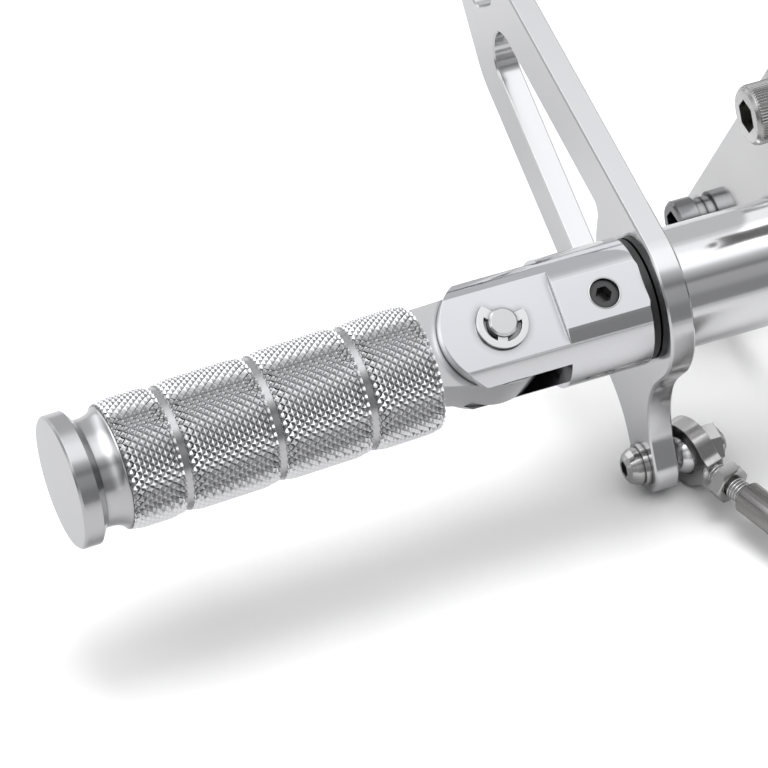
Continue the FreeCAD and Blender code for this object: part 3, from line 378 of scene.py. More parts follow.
# %% Aluminium finishes
finishes = {
    "mounting_plate": metal("polished_plate", (0.69, 0.69, 0.685), roughness=0.10, spread=0.04,
                            lines=ALONG_X, depth=0.05, tone=0.03),
    "standoff_tube": metal("polished_tube", (0.70, 0.70, 0.705), roughness=0.14, spread=0.03,
                           lines=RINGS, depth=0.04, turned=SHAFT, edge=0.0),
    "peg_clevis": metal("polished_clevis", (0.64, 0.64, 0.655), roughness=0.06, spread=0.04,
                        lines=ALONG_X, depth=0.03, tone=0.03, reach=2.2 * MM),
    "foot_peg": metal("satin_aluminium", (0.52, 0.52, 0.525), roughness=0.19, spread=0.05,
                      lines=GRAIN, depth=0.05),
    "knurl": metal("knurled_aluminium", (0.82, 0.82, 0.83), roughness=0.12, spread=0.08,
                   lines=GRAIN, depth=0.06, edge=0.03 * MM, reach=0.9 * MM),
    "shift_lever": metal("satin_lever", (0.635, 0.635, 0.64), roughness=0.15, spread=0.03,
                         lines=ALONG_LEVER, depth=0.03, tone=0.01),
    "toe_peg": metal("turned_toe_peg", (0.68, 0.68, 0.69), roughness=0.24, lines=RINGS),
}
print("aluminium finishes:", len(finishes))

# %% [markdown]
# Shaft, pin, clip, balls and rod are steel, most of it a little darker than the
# aluminium. The rod's end has a forged skin that the cutter never touched, so its
# grain is coarse and deep. The bushing in the lever's hub is bronze.

# %% Steel and bronze finishes
finishes.update({
    "pivot_shaft": metal("ground_shaft", (0.55, 0.55, 0.56), roughness=0.22, lines=RINGS, turned=SHAFT),
    "clevis_pin": metal("pin_steel", (0.62, 0.62, 0.62), roughness=0.22, spread=0.1,
                        lines=RINGS_ON_END, depth=0.3, turned=PIN),
    "pin_e_clip": metal("spring_steel", (0.70, 0.70, 0.70), roughness=0.14, spread=0.08, lines=GRAIN),
    "linkage_rod": metal("turned_rod", (0.34, 0.33, 0.32), roughness=0.22, spread=0.03,
                         lines=PLAIN, depth=0.0, turned=ROD, edge=0.0),
    "rod_end_ball": metal("ball_steel", (0.62, 0.62, 0.62), roughness=0.10),
    "rod_end_body": metal("rod_end_steel", (0.58, 0.57, 0.56), roughness=0.22, spread=0.12,
                          lines=FORGED, depth=0.5, tone=0.14),
    "lever_bushing": metal("bearing_bronze", (0.62, 0.45, 0.24), roughness=0.3, lines=RINGS, turned=SHAFT),
})
print("finishes so far:", len(finishes))

# %% [markdown]
# Screws and nuts are stainless or blackened, each batch in its own grey. Several
# of them come from the same box, so they share one finish by name and don't each
# get a material of their own.

# %% Finishes of screws and nuts
finishes.update({
    "clevis_set_screw": metal("dark_screw", (0.09, 0.09, 0.09), roughness=0.20, spread=0.1,
                              lines=GRAIN, depth=0.2),
    "upper_plate_screw": metal("screw_steel", (0.42, 0.415, 0.405), roughness=0.20, spread=0.08,
                               lines=GRAIN, tone=0.1),
    "lower_plate_screw": metal("dull_screw_steel", (0.21, 0.21, 0.215), roughness=0.22, spread=0.08,
                               lines=GRAIN, tone=0.1),
    "front_jam_nut": metal("nut_steel", (0.47, 0.465, 0.455), roughness=0.14, lines=GRAIN,
                           depth=0.06, tone=0.05),
    "threads": metal("rolled_thread", (0.66, 0.655, 0.65), roughness=0.14, spread=0.05,
                     lines=GRAIN, depth=0.03, edge=0.0),
})
for name, like in (
    ("arm_screw", "front_jam_nut"),
    ("arm_screw_washer", "front_jam_nut"),
    ("arm_lock_nut", "front_jam_nut"),
    ("rear_jam_nut", "front_jam_nut"),
    ("lower_screw_collar", "lower_plate_screw"),
    ("ball_spacer", "upper_plate_screw"),
    ("toe_peg_screw", "upper_plate_screw"),
    ("rear_rod_end_ball", "rod_end_ball"),
    ("rear_rod_end_body", "rod_end_body"),
):
    finishes[name] = finishes[like]
print("finishes so far:", len(finishes))

# %% [markdown]
# The thrust washer between clevis and lever is the one piece that isn't metal: a
# thin ring of black plastic that keeps the two from rubbing. Plain black would
# do from afar, but the machined finish gives it the faint grain of a moulding.

# %% The black washer
black = bpy.data.materials.new("black_washer")
black.use_nodes = True
tree = black.node_tree
tree.nodes["Principled BSDF"].inputs["Base Color"].default_value = (0.012, 0.012, 0.012, 1.0)
place = node(tree, "ShaderNodeTexCoord", (-900, 0))
add_finish(tree, place.outputs["Object"], Lines=GRAIN, Depth=0.3, Roughness=0.45, Spread=0.12)
finishes["thrust_washer"] = black
print("washer:", black.name)

# %% [markdown]
# Every solid now gets its finish. Only the material changes: the solids' shapes
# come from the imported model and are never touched.

# %% Finishes on the solids
for name, piece in nodes.items():
    piece.data.materials.clear()
    piece.data.materials.append(finishes[name])
print("solids with a finish:", len(nodes))

# %% [markdown]
# Knurls and threads are cut into plain solids by tools that repeat one small
# stroke, so geometry nodes suit them: one tooth, or one turn, and a rule for
# where the next one goes. Each tree takes its sizes as named inputs and ends the
# same way. What it made is moved to its place on the part, its copies become real
# faces, because the export drops instances, and it gets its metal.

# %% Helpers for geometry-node trees
GN = "GeometryNode"


def open_tree(name, inputs):
    """A geometry-node tree with named inputs, and those inputs' sockets."""
    tree = bpy.data.node_groups.new(name, GN + "Tree")
    ends = (("Move", "Vector"), ("Turn", "Vector"), ("Material", "Material"))
    for label, kind in (*inputs, *ends):
        tree.interface.new_socket(label, in_out="INPUT", socket_type="NodeSocket" + kind)
    tree.interface.new_socket("Geometry", in_out="OUTPUT", socket_type="NodeSocketGeometry")
    return tree, node(tree, "NodeGroupInput", (-1400, 0)).outputs


def close_tree(tree, given, made):
    """Moves what was made to its place, makes it real faces and gives it a metal."""
    moved = node(tree, GN + "Transform", (100, 100), Geometry=made,
                 Translation=given["Move"], Rotation=given["Turn"])
    real = node(tree, GN + "RealizeInstances", (300, 100), Geometry=moved.outputs[0])
    painted = node(tree, GN + "SetMaterial", (500, 100), Geometry=real.outputs[0],
                   Material=given["Material"])
    end = node(tree, "NodeGroupOutput", (700, 100))
    wire(tree, painted.outputs[0], end.inputs[0])


print("helpers: open_tree, close_tree")

# %% [markdown]
# Two details here are teeth in rings round an axis: the diamonds of the grip's
# knurl, and the straight knurl on the upper screw's head. An array modifier could
# do one ring. This tree does any number of rings at once: it counts its points,
# works out from each point's number which row and which column it is in, and
# shifts every second row by half a step, as crossed cutters leave it.

# %% Geometry nodes: where each tooth goes
rows_tree, given = open_tree("rows_round_axis", (
    ("Tooth", "Geometry"),
    ("Round", "Int"),
    ("Rows", "Int"),
    ("Start", "Float"),
    ("Step", "Float"),
    ("Stagger", "Float"),
    ("Crown", "Float"),
    ("Crown Run", "Float"),
))
tree = rows_tree
count = calc(tree, "MULTIPLY", (-1200, 200), given["Round"], given["Rows"])
index = node(tree, GN + "InputIndex", (-1400, -300)).outputs[0]
share = calc(tree, "DIVIDE", (-1200, -200), index, given["Round"])
row = calc(tree, "FLOOR", (-1050, -200), share)
odd = calc(tree, "MODULO", (-900, -350), row, 2.0)
shifted = calc(tree, "MULTIPLY", (-750, -350), odd, given["Stagger"])
column = calc(tree, "ADD", (-600, -350), index, shifted)
column_width = calc(tree, "DIVIDE", (-600, -500), 2.0 * math.pi, given["Round"])
angle = calc(tree, "MULTIPLY", (-450, -400), column, column_width)
along = calc(tree, "MULTIPLY_ADD", (-750, -100), row, given["Step"], given["Start"])
spot = node(tree, "ShaderNodeCombineXYZ", (-550, 0), X=along)
way = node(tree, "ShaderNodeCombineXYZ", (-250, -300), X=angle)
print("tree:", tree.name, "with", len(tree.nodes), "nodes so far")

# %% [markdown]
# A knurl is a little lower at the ends of its band, where the tool runs in and
# out. Modelling each row by hand would be tedious. Instead each row is drawn in
# towards the axis by how near it is to either end: fully in at Crown, and back
# at full size after Crown Run rows.

# %% Geometry nodes: lower rows at a band's ends
rows_left = calc(tree, "SUBTRACT", (-1050, 400), given["Rows"], row)
rows_passed = calc(tree, "ADD", (-900, 250), row, 1.0)
nearest = calc(tree, "MINIMUM", (-750, 350), rows_left, rows_passed)
crown = node(tree, "ShaderNodeMapRange", (-600, 350), interpolation_type="SMOOTHERSTEP", Value=nearest,
             From_Max=given["Crown Run"], To_Min=given["Crown"], To_Max=1.0).outputs["Result"]
size = node(tree, "ShaderNodeCombineXYZ", (-400, 350), X=1.0, Y=crown, Z=crown)
points = node(tree, GN + "Points", (-350, 100), Count=count, Position=spot.outputs[0])
teeth = node(tree, GN + "InstanceOnPoints", (-100, 100), Points=points.outputs[0],
             Instance=given["Tooth"], Rotation=way.outputs[0], Scale=size.outputs[0])
close_tree(tree, given, teeth.outputs[0])
print("tree:", tree.name, "nodes:", len(tree.nodes))

# %% [markdown]
# To use a tree, its tooth is put in the scene for a moment with the tree as a
# modifier. The values go in by the sockets' identifiers before anything is
# worked out. The result is kept as a plain mesh, and the helper object goes.

# %% Growing a mesh with a tree


def new_object(name, mesh):
    made = bpy.data.objects.new(name, mesh)
    bpy.context.scene.collection.objects.link(made)
    return made


def faces_mesh(name, points, faces):
    mesh = bpy.data.meshes.new(name)
    mesh.from_pydata(points, [], faces)
    mesh.update()
    return mesh


def smooth(mesh):
    for face in mesh.polygons:
        face.use_smooth = True


def grown(name, tooth, tree, values):
    """The mesh that a geometry-node tree makes of one tooth."""
    made = new_object(name, tooth)
    modifier = made.modifiers.new(name, "NODES")
    modifier.node_group = tree
    for item in tree.interface.items_tree:
        if item.in_out == "INPUT" and item.name in values:
            modifier[item.identifier] = values[item.name]
    made.update_tag()
    bpy.context.view_layer.update()
    depsgraph = bpy.context.evaluated_depsgraph_get()
    mesh = bpy.data.meshes.new_from_object(made.evaluated_get(depsgraph))
    mesh.name = name
    bpy.data.objects.remove(made)
    return mesh


def triangles(mesh):
    return sum(len(face.vertices) - 2 for face in mesh.polygons)


print("helpers: new_object, faces_mesh, smooth, grown, triangles")

# %% [markdown]
# The part moves, so each added piece has to ride on the right body. It could be
# named by hand. Asking which body the solid under it belongs to keeps the two
# together whatever the bodies are called.

# %% Which body a piece moves with


def body_of(name):
    """The name of the body that a solid belongs to."""
    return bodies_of(nodes[name])[0]


print({name: body_of(name) for name in sorted(nodes)})

# %% [markdown]
# The peg lies in a frame of its own: it points along -X, turned with the clevis
# and folded by about two degrees, as in the photograph. Its axis passes a little
# beside the pin. Grooves part its knurl into four bands. Each band holds a whole
# number of diamonds, so that a row always ends at its groove.

# %% Where the grip lies
CLEVIS_TURN = math.radians(30.0)
PEG_DROOP = math.radians(1.91)
PEG_OFFSET = 1.33 * MM
peg_turn = Matrix.Rotation(CLEVIS_TURN, 3, "X") @ Matrix.Rotation(PEG_DROOP, 3, "Z")
peg_origin = pin_point + peg_turn @ Vector((0.0, -PEG_OFFSET, 0.0))
GRIP_BANDS = (
    (21.0 * MM, 39.5 * MM, 8),
    (41.5 * MM, 65.5 * MM, 10),
    (67.5 * MM, 91.5 * MM, 10),
    (93.5 * MM, 108.0 * MM, 6),
)
print("diamond pitches, mm:", [round((far - near) / fits / MM, 2) for near, far, fits in GRIP_BANDS])

# %% [markdown]
# The grip's knurl is rolled in by two opposed cutters, which leaves sharp
# pyramids on a diamond base, each with a tiny worn flat on top. A bump in the
# material would look flat at the grip's outline, where the teeth show against
# the white, so they are real faces. Each pyramid has its corners on the valley
# circle, and neighbours share them exactly. At a groove it is cut in half.

# %% One diamond
DIAMONDS_ROUND = 46
PEAK = 17.5 * MM
VALLEY = 16.74 * MM
WORN_TOP = 0.13


def on_circle(x, angle, radius):
    return (x, -radius * math.sin(angle), radius * math.cos(angle))


def diamond(pitch, cut=0):
    """One pyramid round x = 0; cut keeps only its far (-1) or near (1) half."""
    half = pitch / 2
    side = math.pi / DIAMONDS_ROUND
    rim = [(half, 0.0), (0.0, -side), (-half, 0.0), (0.0, side)]
    if cut < 0:
        rim = rim[1:]
    if cut > 0:
        rim = [rim[3], rim[0], rim[1]]
    count = len(rim)
    points = [on_circle(x, a, VALLEY) for x, a in rim]
    points += [on_circle(x * WORN_TOP, a * WORN_TOP, PEAK) for x, a in rim]
    faces = [tuple(range(count, 2 * count))]
    for i in range(count):
        j = (i + 1) % count
        faces.append((i, j, count + j, count + i))
    return faces_mesh("diamond", points, faces)


print("a diamond has", len(diamond(1.0 * MM).polygons), "faces")

# %% [markdown]
# A band is three growths of the tree: all its whole rows, and a row of halves at
# either end. The whole rows rise to full height within a few rows. A row of
# halves is alone in its growth, so it gets a run that is far longer, which keeps
# it drawn in.

# %% Diamonds of the knurl
CROWN = 0.972
RUN_OF_ROWS = 3.2
RUN_OF_HALVES = 60.0
knurl_meshes = []
for near, far, fits in GRIP_BANDS:
    pitch = (far - near) / fits
    shared = {
        "Round": DIAMONDS_ROUND, "Step": -pitch / 2, "Stagger": 0.5, "Crown": CROWN,
        "Move": peg_origin, "Turn": Vector(peg_turn.to_euler()), "Material": finishes["knurl"],
    }
    for label, tooth, rows, start, run in (
        ("whole", diamond(pitch), 2 * fits - 1, -near - pitch / 2, RUN_OF_ROWS),
        ("near", diamond(pitch, -1), 1, -near, RUN_OF_HALVES),
        ("far", diamond(pitch, 1), 1, -far, RUN_OF_HALVES),
    ):
        name = "knurl_%d_%s" % (round(near / MM), label)
        values = dict(shared, Rows=rows, Start=start, **{"Crown Run": run})
        knurl_meshes.append(grown(name, tooth, rows_tree, values))
print("knurl triangles:", sum(triangles(mesh) for mesh in knurl_meshes))

# %% [markdown]
# Under the diamonds runs the peg's own body. It is a copy of the finished solid,
# with the outer skin of the four bands drawn in to just below the lowest valleys,
# so that it closes the grip from inside and never pokes through. Its round faces
# are shaded smooth up to a crease.

# %% The grip's core
CORE_FROM = 20.9 * MM
CORE_TO = 108.05 * MM
SKIN = 16.65 * MM
CORE_RADIUS = 16.2 * MM
CREASE = math.radians(28.0)
core = bmesh.new()
core.from_mesh(nodes["foot_peg"].data)
bmesh.ops.remove_doubles(core, verts=core.verts, dist=1e-6)
back = peg_turn.transposed()
drawn_in = 0
for vert in core.verts:
    local = back @ (vert.co - peg_origin)
    radius = math.hypot(local.y, local.z)
    if CORE_FROM < -local.x < CORE_TO and radius > SKIN:
        local.y *= CORE_RADIUS / radius
        local.z *= CORE_RADIUS / radius
        vert.co = peg_origin + peg_turn @ local
        drawn_in += 1
for face in core.faces:
    face.smooth = True
for edge in core.edges:
    if len(edge.link_faces) == 2 and edge.calc_face_angle(0.0) > CREASE:
        edge.smooth = False
print("core vertices drawn in:", drawn_in)

# %% [markdown]
# On the real peg, grip and knurl are one piece of bar. So the diamonds are joined
# to the core in one mesh, and that mesh takes the solid's place. It keeps two
# metals, because the rolled teeth are brighter than the turned neck and disc.

# %% The whole foot peg
core_faces = len(core.faces)
for mesh in knurl_meshes:
    core.from_mesh(mesh)
for count, face in enumerate(core.faces):
    face.material_index = 0 if count < core_faces else 1
peg_mesh = bpy.data.meshes.new("knurled_foot_peg")
core.to_mesh(peg_mesh)
core.free()
peg_mesh.materials.append(finishes["foot_peg"])
peg_mesh.materials.append(finishes["knurl"])
knurled_peg = new_object("knurled_foot_peg", peg_mesh)
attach(knurled_peg, "peg")
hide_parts("foot_peg")
print("peg triangles:", triangles(peg_mesh))

# %% [markdown]
# The upper screw has a straight knurl round its head, rolled so that fingers can
# spin it in. The lower one is smooth. Sixty grooves could be cut into the head,
# but it is simpler to add sixty ridges. Each is a small prism along the axis,
# with its crest a little shorter than its foot, and the same tree sets them.

# %% Straight knurl on the upper plate screw
UPPER_SCREW = (5.5 * MM, 49.6 * MM)
RIDGES = 60
HEAD_RADIUS = 7.9 * MM
HEAD_OUTER_END = -19.4 * MM
half_ridge = math.pi / RIDGES * 0.95
ridge_points = []
for foot_x, crest_x in ((0.0, 0.5 * MM), (8.4 * MM, 8.0 * MM)):
    ridge_points += [
        on_circle(foot_x, -half_ridge, HEAD_RADIUS - 0.05 * MM),
        on_circle(crest_x, 0.0, HEAD_RADIUS + 0.26 * MM),
        on_circle(foot_x, half_ridge, HEAD_RADIUS - 0.05 * MM),
    ]
ridge_faces = [(0, 1, 2), (5, 4, 3), (0, 3, 4, 1), (1, 4, 5, 2), (0, 2, 5, 3)]
ridge = faces_mesh("ridge", ridge_points, ridge_faces)
head_knurl = new_object("screw_head_knurl", grown("screw_head_knurl", ridge, rows_tree, {
    "Round": RIDGES, "Rows": 1, "Start": HEAD_OUTER_END, "Step": 0.0, "Stagger": 0.0,
    "Crown": 1.0, "Crown Run": 0.0, "Move": Vector((0.0, *UPPER_SCREW)),
    "Turn": Vector((0.0, 0.0, 0.0)), "Material": finishes["upper_plate_screw"],
}))
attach(head_knurl, body_of("upper_plate_screw"))
print("head knurl faces:", len(head_knurl.data.polygons))

# %% [markdown]
# The set screw's hole was countersunk a little, and the bright edge of that
# countersink is what shows. A chamfer can't be cut into the solid from here, so
# the edge is a fine torus that lies just at the flat and catches the light.

# %% Mouth of the set screw's hole
MOUTH_X = -65.7 * MM
MOUTH_LIFT = 16.16 * MM
MOUTH_RADIUS = 4.22 * MM
MOUTH_THICK = 0.19 * MM


def torus(name, centre, axis, radius, thick, around=72, across=8):
    """A ring of that radius and thickness about an axis."""
    turned_to = Vector((0, 0, 1)).rotation_difference(axis)
    points, faces = [], []
    for i in range(around):
        a = 2 * math.pi * i / around
        next_i = (i + 1) % around
        for j in range(across):
            b = 2 * math.pi * j / across
            next_j = (j + 1) % across
            reach = radius + thick * math.cos(b)
            local = Vector((reach * math.cos(a), reach * math.sin(a), thick * math.sin(b)))
            points.append(centre + turned_to @ local)
            faces.append((i * across + j, next_i * across + j,
                          next_i * across + next_j, i * across + next_j))
    mesh = faces_mesh(name, points, faces)
    smooth(mesh)
    return mesh


mouth_centre = Vector((MOUTH_X, 0.0, 0.0)) + pin_axis * MOUTH_LIFT
mouth = new_object("set_screw_mouth", torus(
    "set_screw_mouth", mouth_centre, pin_axis, MOUTH_RADIUS, MOUTH_THICK))
mouth.data.materials.append(finishes["threads"])
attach(mouth, body_of("peg_clevis"))
print("mouth faces:", len(mouth.data.polygons))

# %% [markdown]
# The screw threads are rolled: round-bottomed, and bright on the crests. In the
# solids they are plain cylinders. A thread could be drawn on them as a bump, but
# its teeth show at the outline, so a fine round bar is wound round each length
# as a helix. Its pitch is a standard screw's, and its thickness follows that.

# %% Geometry nodes: a thread
CREST_SHARE = 0.34
thread_tree, given = open_tree("thread_on_axis", (
    ("Blank", "Geometry"),
    ("Length", "Float"),
    ("Pitch", "Float"),
    ("Radius", "Float"),
))
tree = thread_tree
turns = calc(tree, "DIVIDE", (-800, 100), given["Length"], given["Pitch"])
helix = node(tree, GN + "CurveSpiral", (-600, 100), Resolution=40, Rotations=turns,
             Start_Radius=given["Radius"], End_Radius=given["Radius"], Height=given["Length"])
thick = calc(tree, "MULTIPLY", (-800, -200), given["Pitch"], CREST_SHARE)
round_bar = node(tree, GN + "CurvePrimitiveCircle", (-600, -200), Resolution=8, Radius=thick)
wound = node(tree, GN + "CurveToMesh", (-350, 0), Curve=helix.outputs[0],
             Profile_Curve=round_bar.outputs[0], Fill_Caps=True)
close_tree(tree, given, wound.outputs[0])
print("tree:", tree.name, "nodes:", len(tree.nodes))

# %% [markdown]
# Six lengths are threaded. At either end of the rod a little of the rod end's
# thread shows on both sides of its nut, and the far end is the mirror of the
# near one. The two studs are threaded for nearly all of their length behind the
# plate.

# %% Which lengths are threaded
M6_PITCH, M6_HELIX = 1.0 * MM, 2.82 * MM
M10_PITCH, M10_HELIX = 1.5 * MM, 4.36 * MM
NECK_AT, NECK_RUN = 11.4 * MM, 2.6 * MM
SHANK_AT, SHANK_RUN = 18.6 * MM, 4.6 * MM
STUD_AT, STUD_RUN = 2.0 * MM, 21.5 * MM
LOWER_SCREW = (48.8 * MM, -27.8 * MM)
threads = []
for end, owner, ball, way in (
    ("front", "rod_end_body", front_ball, rod_way),
    ("rear", "rear_rod_end_body", rear_ball, -rod_way),
):
    neck, shank = ball + way * NECK_AT, ball + way * SHANK_AT
    threads.append((end + "_neck_thread", owner, neck, way, NECK_RUN, M6_PITCH, M6_HELIX))
    threads.append((end + "_rod_thread", owner, shank, way, SHANK_RUN, M6_PITCH, M6_HELIX))
for end, spot in (("upper", UPPER_SCREW), ("lower", LOWER_SCREW)):
    start = Vector((STUD_AT, *spot))
    threads.append((end + "_stud_thread", end + "_plate_screw", start, Vector((1, 0, 0)),
                    STUD_RUN, M10_PITCH, M10_HELIX))
print("threads:", [row[0] for row in threads])

# %% [markdown]
# A helix needs no tooth to start from. The tree still works on an object, so it
# gets a blank of a single point, and its first input is never wired to anything.

# %% Winding the threads
blank = faces_mesh("blank", [(0.0, 0.0, 0.0)], [])
for name, owner, start, way, length, pitch, radius in threads:
    turned_to = Vector((0, 0, 1)).rotation_difference(way).to_euler()
    thread = new_object(name, grown(name, blank, thread_tree, {
        "Length": length, "Pitch": pitch, "Radius": radius, "Move": start,
        "Turn": Vector(turned_to), "Material": finishes["threads"],
    }))
    smooth(thread.data)
    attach(thread, body_of(owner))
    print(name, len(thread.data.polygons), "faces")

# %% [markdown]
# A product photograph is taken on a seamless white sheet. A large curved backdrop
# would do it, but it has to be as large as the picture needs from every side. A
# flat disc just under the lowest point is simpler. It catches the soft shadow
# under the peg and the rod.

# %% Table
TABLE_GAP = 0.5 * MM
TABLE_RADIUS = 2.5
TABLE_Z = cad_box[0].z - TABLE_GAP
disc = bmesh.new()
bmesh.ops.create_circle(disc, cap_ends=True, segments=96, radius=TABLE_RADIUS)
bmesh.ops.translate(disc, verts=disc.verts, vec=(0.0, 0.0, TABLE_Z))
mesh = bpy.data.meshes.new("table")
disc.to_mesh(mesh)
disc.free()
table = new_object("table", mesh)
print("table top at", round(TABLE_Z, 4), "m")

# %% [markdown]
# The sheet has to read pure white to the camera. But metal that mirrors it, and
# light that bounces off it, should meet a greyer sheet, or the undersides would
# glow. One colour can't do both. So the sheet is paler to the camera's own rays,
# and the lamps are set until it reads white there.

# %% White of the table
GREY_SHEET = (0.58, 0.58, 0.59, 1.0)
WHITE_SHEET = (0.92, 0.92, 0.92, 1.0)
white = bpy.data.materials.new("table_white")
white.use_nodes = True
tree = white.node_tree
shader = tree.nodes["Principled BSDF"]
shader.inputs["Roughness"].default_value = 0.9
shader.inputs["Specular IOR Level"].default_value = 0.0
to_camera = node(tree, "ShaderNodeLightPath", (-700, 300)).outputs["Is Camera Ray"]
sheet = mix_colour(tree, "MIX", (-300, 400), to_camera, GREY_SHEET, WHITE_SHEET)
wire(tree, sheet, shader.inputs["Base Color"])
table.data.materials.append(white)
print("table material:", white.name)

# %% [markdown]
# To the camera the sheet is clear in three places. It fades out towards its rim,
# so that it melts into the white surroundings. It can't be seen from below. And
# it is clear where something lies close under it, because the rod and the peg
# swing below the table at some of their limits. Ambient occlusion turned to the
# inside finds those places, within a hand's width. From a low angle the sheet is
# met further away than that, and still hides what is below.

# %% Where the table is clear
FADE_FROM, FADE_TO = 0.45, 1.1
SEARCH_BELOW = 0.12
NOTHING_BELOW = 0.97
place = node(tree, "ShaderNodeTexCoord", (-900, 0))
reach = node(tree, "ShaderNodeVectorMath", (-700, 0), operation="LENGTH", Vector=place.outputs["Object"])
fade = node(tree, "ShaderNodeMapRange", (-500, 0), interpolation_type="SMOOTHSTEP",
            Value=reach.outputs["Value"], From_Min=FADE_FROM, From_Max=FADE_TO, To_Min=1.0, To_Max=0.0)
below = node(tree, "ShaderNodeAmbientOcclusion", (-700, -250), samples=20, inside=True,
             Distance=SEARCH_BELOW)
empty = node(tree, "ShaderNodeMapRange", (-500, -250), Value=below.outputs["AO"],
             From_Min=NOTHING_BELOW, From_Max=1.0)
kept = calc(tree, "MULTIPLY", (-450, -50), fade.outputs["Result"], empty.outputs["Result"])
not_camera = calc(tree, "SUBTRACT", (-500, 300), 1.0, to_camera)
solid = calc(tree, "MAXIMUM", (-300, 100), not_camera, kept)
under = node(tree, "ShaderNodeNewGeometry", (-500, 450)).outputs["Backfacing"]
top_only = calc(tree, "SUBTRACT", (-200, 200), solid, under, clamp=True)
wire(tree, top_only, shader.inputs["Alpha"])
print("table material nodes:", len(tree.nodes))

# %% [markdown]
# Polished metal has hardly any colour of its own: what it shows is its
# surroundings. All-white surroundings would make it look flat, like paint. A
# photographer sets white panels and black cards round it. Here they are bands of
# light and dark in the world. The first ramp goes round the shaft, by the angle
# of the reflected ray in degrees: 0 is forward (+Y) and 90 is straight up.

# %% Bands round the shaft
ROUND_BANDS = (
    (-180, 0.85),
    (-90, 0.85),
    (0, 0.66),
    (44, 0.68),
    (52, 0.80),
    (60, 1.20),
    (68, 1.24),
    (78, 1.48),
    (98, 1.48),
    (103, 1.42),
    (106, 1.26),
    (108.5, 0.86),
    (114, 0.60),
    (123, 0.36),
    (129, 0.20),
    (134, 0.46),
    (150, 0.42),
    (158, 0.29),
    (180, 0.28),
)


def fill_ramp(ramp, stops, tint=(1.0, 1.0, 1.0)):
    """Levels at places from 0 to 1, the first and the last at the two ends."""
    ramp.elements[0].position = 0.0
    ramp.elements[1].position = 1.0
    for at, _ in stops[1:-1]:
        ramp.elements.new(at)
    for stop, (_, level) in zip(ramp.elements, stops):
        stop.color = (*[level * part for part in tint], 1.0)


world = bpy.data.worlds.new("studio")
bpy.context.scene.world = world
world.use_nodes = True
tree = world.node_tree
tree.nodes.clear()
place = node(tree, "ShaderNodeTexCoord", (-1000, 0))
split = node(tree, "ShaderNodeSeparateXYZ", (-800, 0), Vector=place.outputs["Generated"]).outputs
angle = calc(tree, "ARCTAN2", (-600, 0), split["Z"], split["Y"])
turned = calc(tree, "MULTIPLY_ADD", (-400, 0), angle, 0.5 / math.pi, 0.5)
bands = node(tree, "ShaderNodeValToRGB", (-200, 0), Fac=turned)
COOL = (1.0, 1.005, 1.03)
fill_ramp(bands.color_ramp, [(at / 360.0 + 0.5, level) for at, level in ROUND_BANDS], COOL)
print("bands round the shaft:", len(ROUND_BANDS))

# %% [markdown]
# The second ramp goes along the shaft, from the outer end of the peg (-1) to the
# motorcycle (1), and multiplies the first. Its bright stretch is what the broken
# edges and the lever's outer face see, so it sets how much they gleam.

# %% Bands along the shaft
ALONG_BANDS = (
    (-1.0, 0.8),
    (-0.75, 0.9),
    (-0.5, 1.9),
    (-0.35, 2.6),
    (-0.2, 2.0),
    (0.0, 1.1),
    (0.2, 1.0),
    (0.45, 1.0),
    (0.7, 0.6),
    (1.0, 0.5),
)
lengthwise = calc(tree, "MULTIPLY_ADD", (-400, -300), split["X"], 0.5, 0.5)
ends = node(tree, "ShaderNodeValToRGB", (-200, -300), Fac=lengthwise)
fill_ramp(ends.color_ramp, [(at / 2 + 0.5, level) for at, level in ALONG_BANDS])
sky = mix_colour(tree, "MULTIPLY", (0, 0), 1.0, bands.outputs["Color"], ends.outputs["Color"])
print("bands along the shaft:", len(ALONG_BANDS))

# %% [markdown]
# The bands are for reflections only. The camera itself sees plain white behind
# the part. Matt surfaces get no light from the world either, so the table's
# brightness and its shadow depend on the two lamps alone.

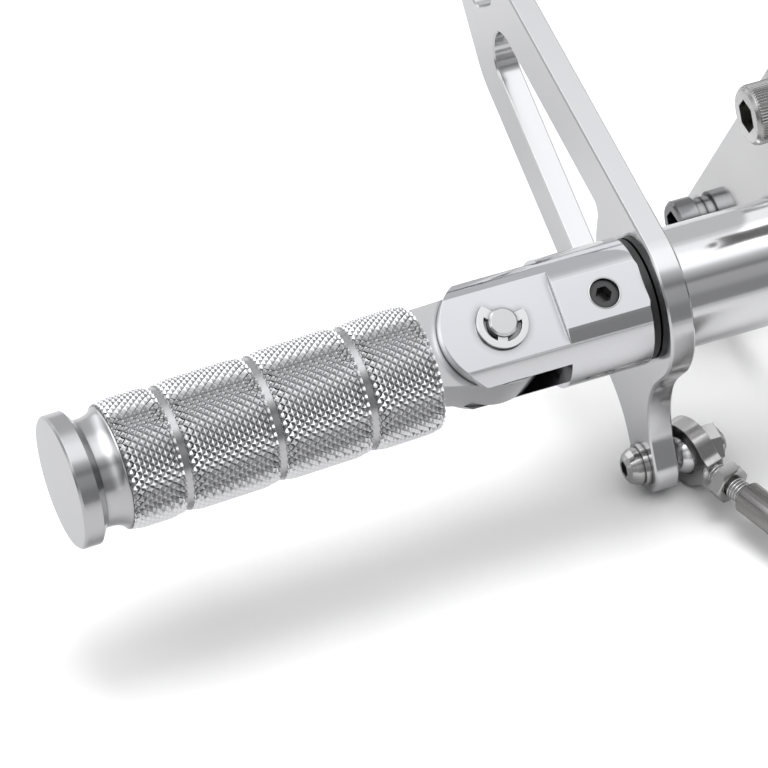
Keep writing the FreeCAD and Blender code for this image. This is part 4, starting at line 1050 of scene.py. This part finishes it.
# %% White behind the part
studio = node(tree, "ShaderNodeBackground", (150, 100), Color=sky)
plain = node(tree, "ShaderNodeBackground", (100, -100), Color=(1.0, 1.0, 1.0, 1.0), Strength=1.0)
to_camera = node(tree, "ShaderNodeLightPath", (-200, 300)).outputs["Is Camera Ray"]
either = node(tree, "ShaderNodeMixShader", (400, 0))
for order, source in enumerate((to_camera, studio.outputs[0], plain.outputs[0])):
    wire(tree, source, either.inputs[order])
output = node(tree, "ShaderNodeOutputWorld", (600, 0))
wire(tree, either.outputs[0], output.inputs["Surface"])
world.cycles_visibility.diffuse = False
print("world nodes:", len(tree.nodes))

# %% [markdown]
# Two soft lamps light the table. A small one overhead and a little forward draws
# the shadow under the peg. A very large one fills that shadow, so that it stays
# soft and pale. Neither is mirrored by the metal, because a lamp's hard rectangle
# would cut across the bands. So the metal gets its light from the bands alone.

# %% Lamps


def soft_lamp(name, spot, aim, size, watts):
    """A rectangular lamp at spot that faces aim and isn't mirrored."""
    lamp = bpy.data.lights.new(name, "AREA")
    lamp.shape = "RECTANGLE"
    lamp.size = size[0]
    lamp.size_y = size[1]
    lamp.energy = watts
    holder = new_object(name, lamp)
    holder.location = spot
    holder.rotation_mode = "QUATERNION"
    holder.rotation_quaternion = (Vector(aim) - Vector(spot)).to_track_quat("-Z", "Y")
    holder.visible_glossy = False
    return holder


key_lamp = soft_lamp("key_lamp", (0.0, 0.24, 1.25), (-0.05, 0.0, 0.0), (0.7, 0.55), 12.0)
fill_lamp = soft_lamp("fill_lamp", (0.0, 0.0, 2.2), (0.0, 0.0, 0.0), (4.0, 4.0), 110.0)
print("lamps, W:", key_lamp.data.energy, fill_lamp.data.energy)

# %% [markdown]
# A film-like view would roll the whites off to grey. The standard view shows a
# brightness of 1 as pure white, which is what this background needs.

# %% Colour view
view = bpy.context.scene.view_settings
view.view_transform = "Standard"
print("view:", view.view_transform)

# %% [markdown]
# The last step prints the size of the imported model.

# %% Size of the imported model
print("CAD box", [[round(c, 4) for c in v] for v in cad_box])
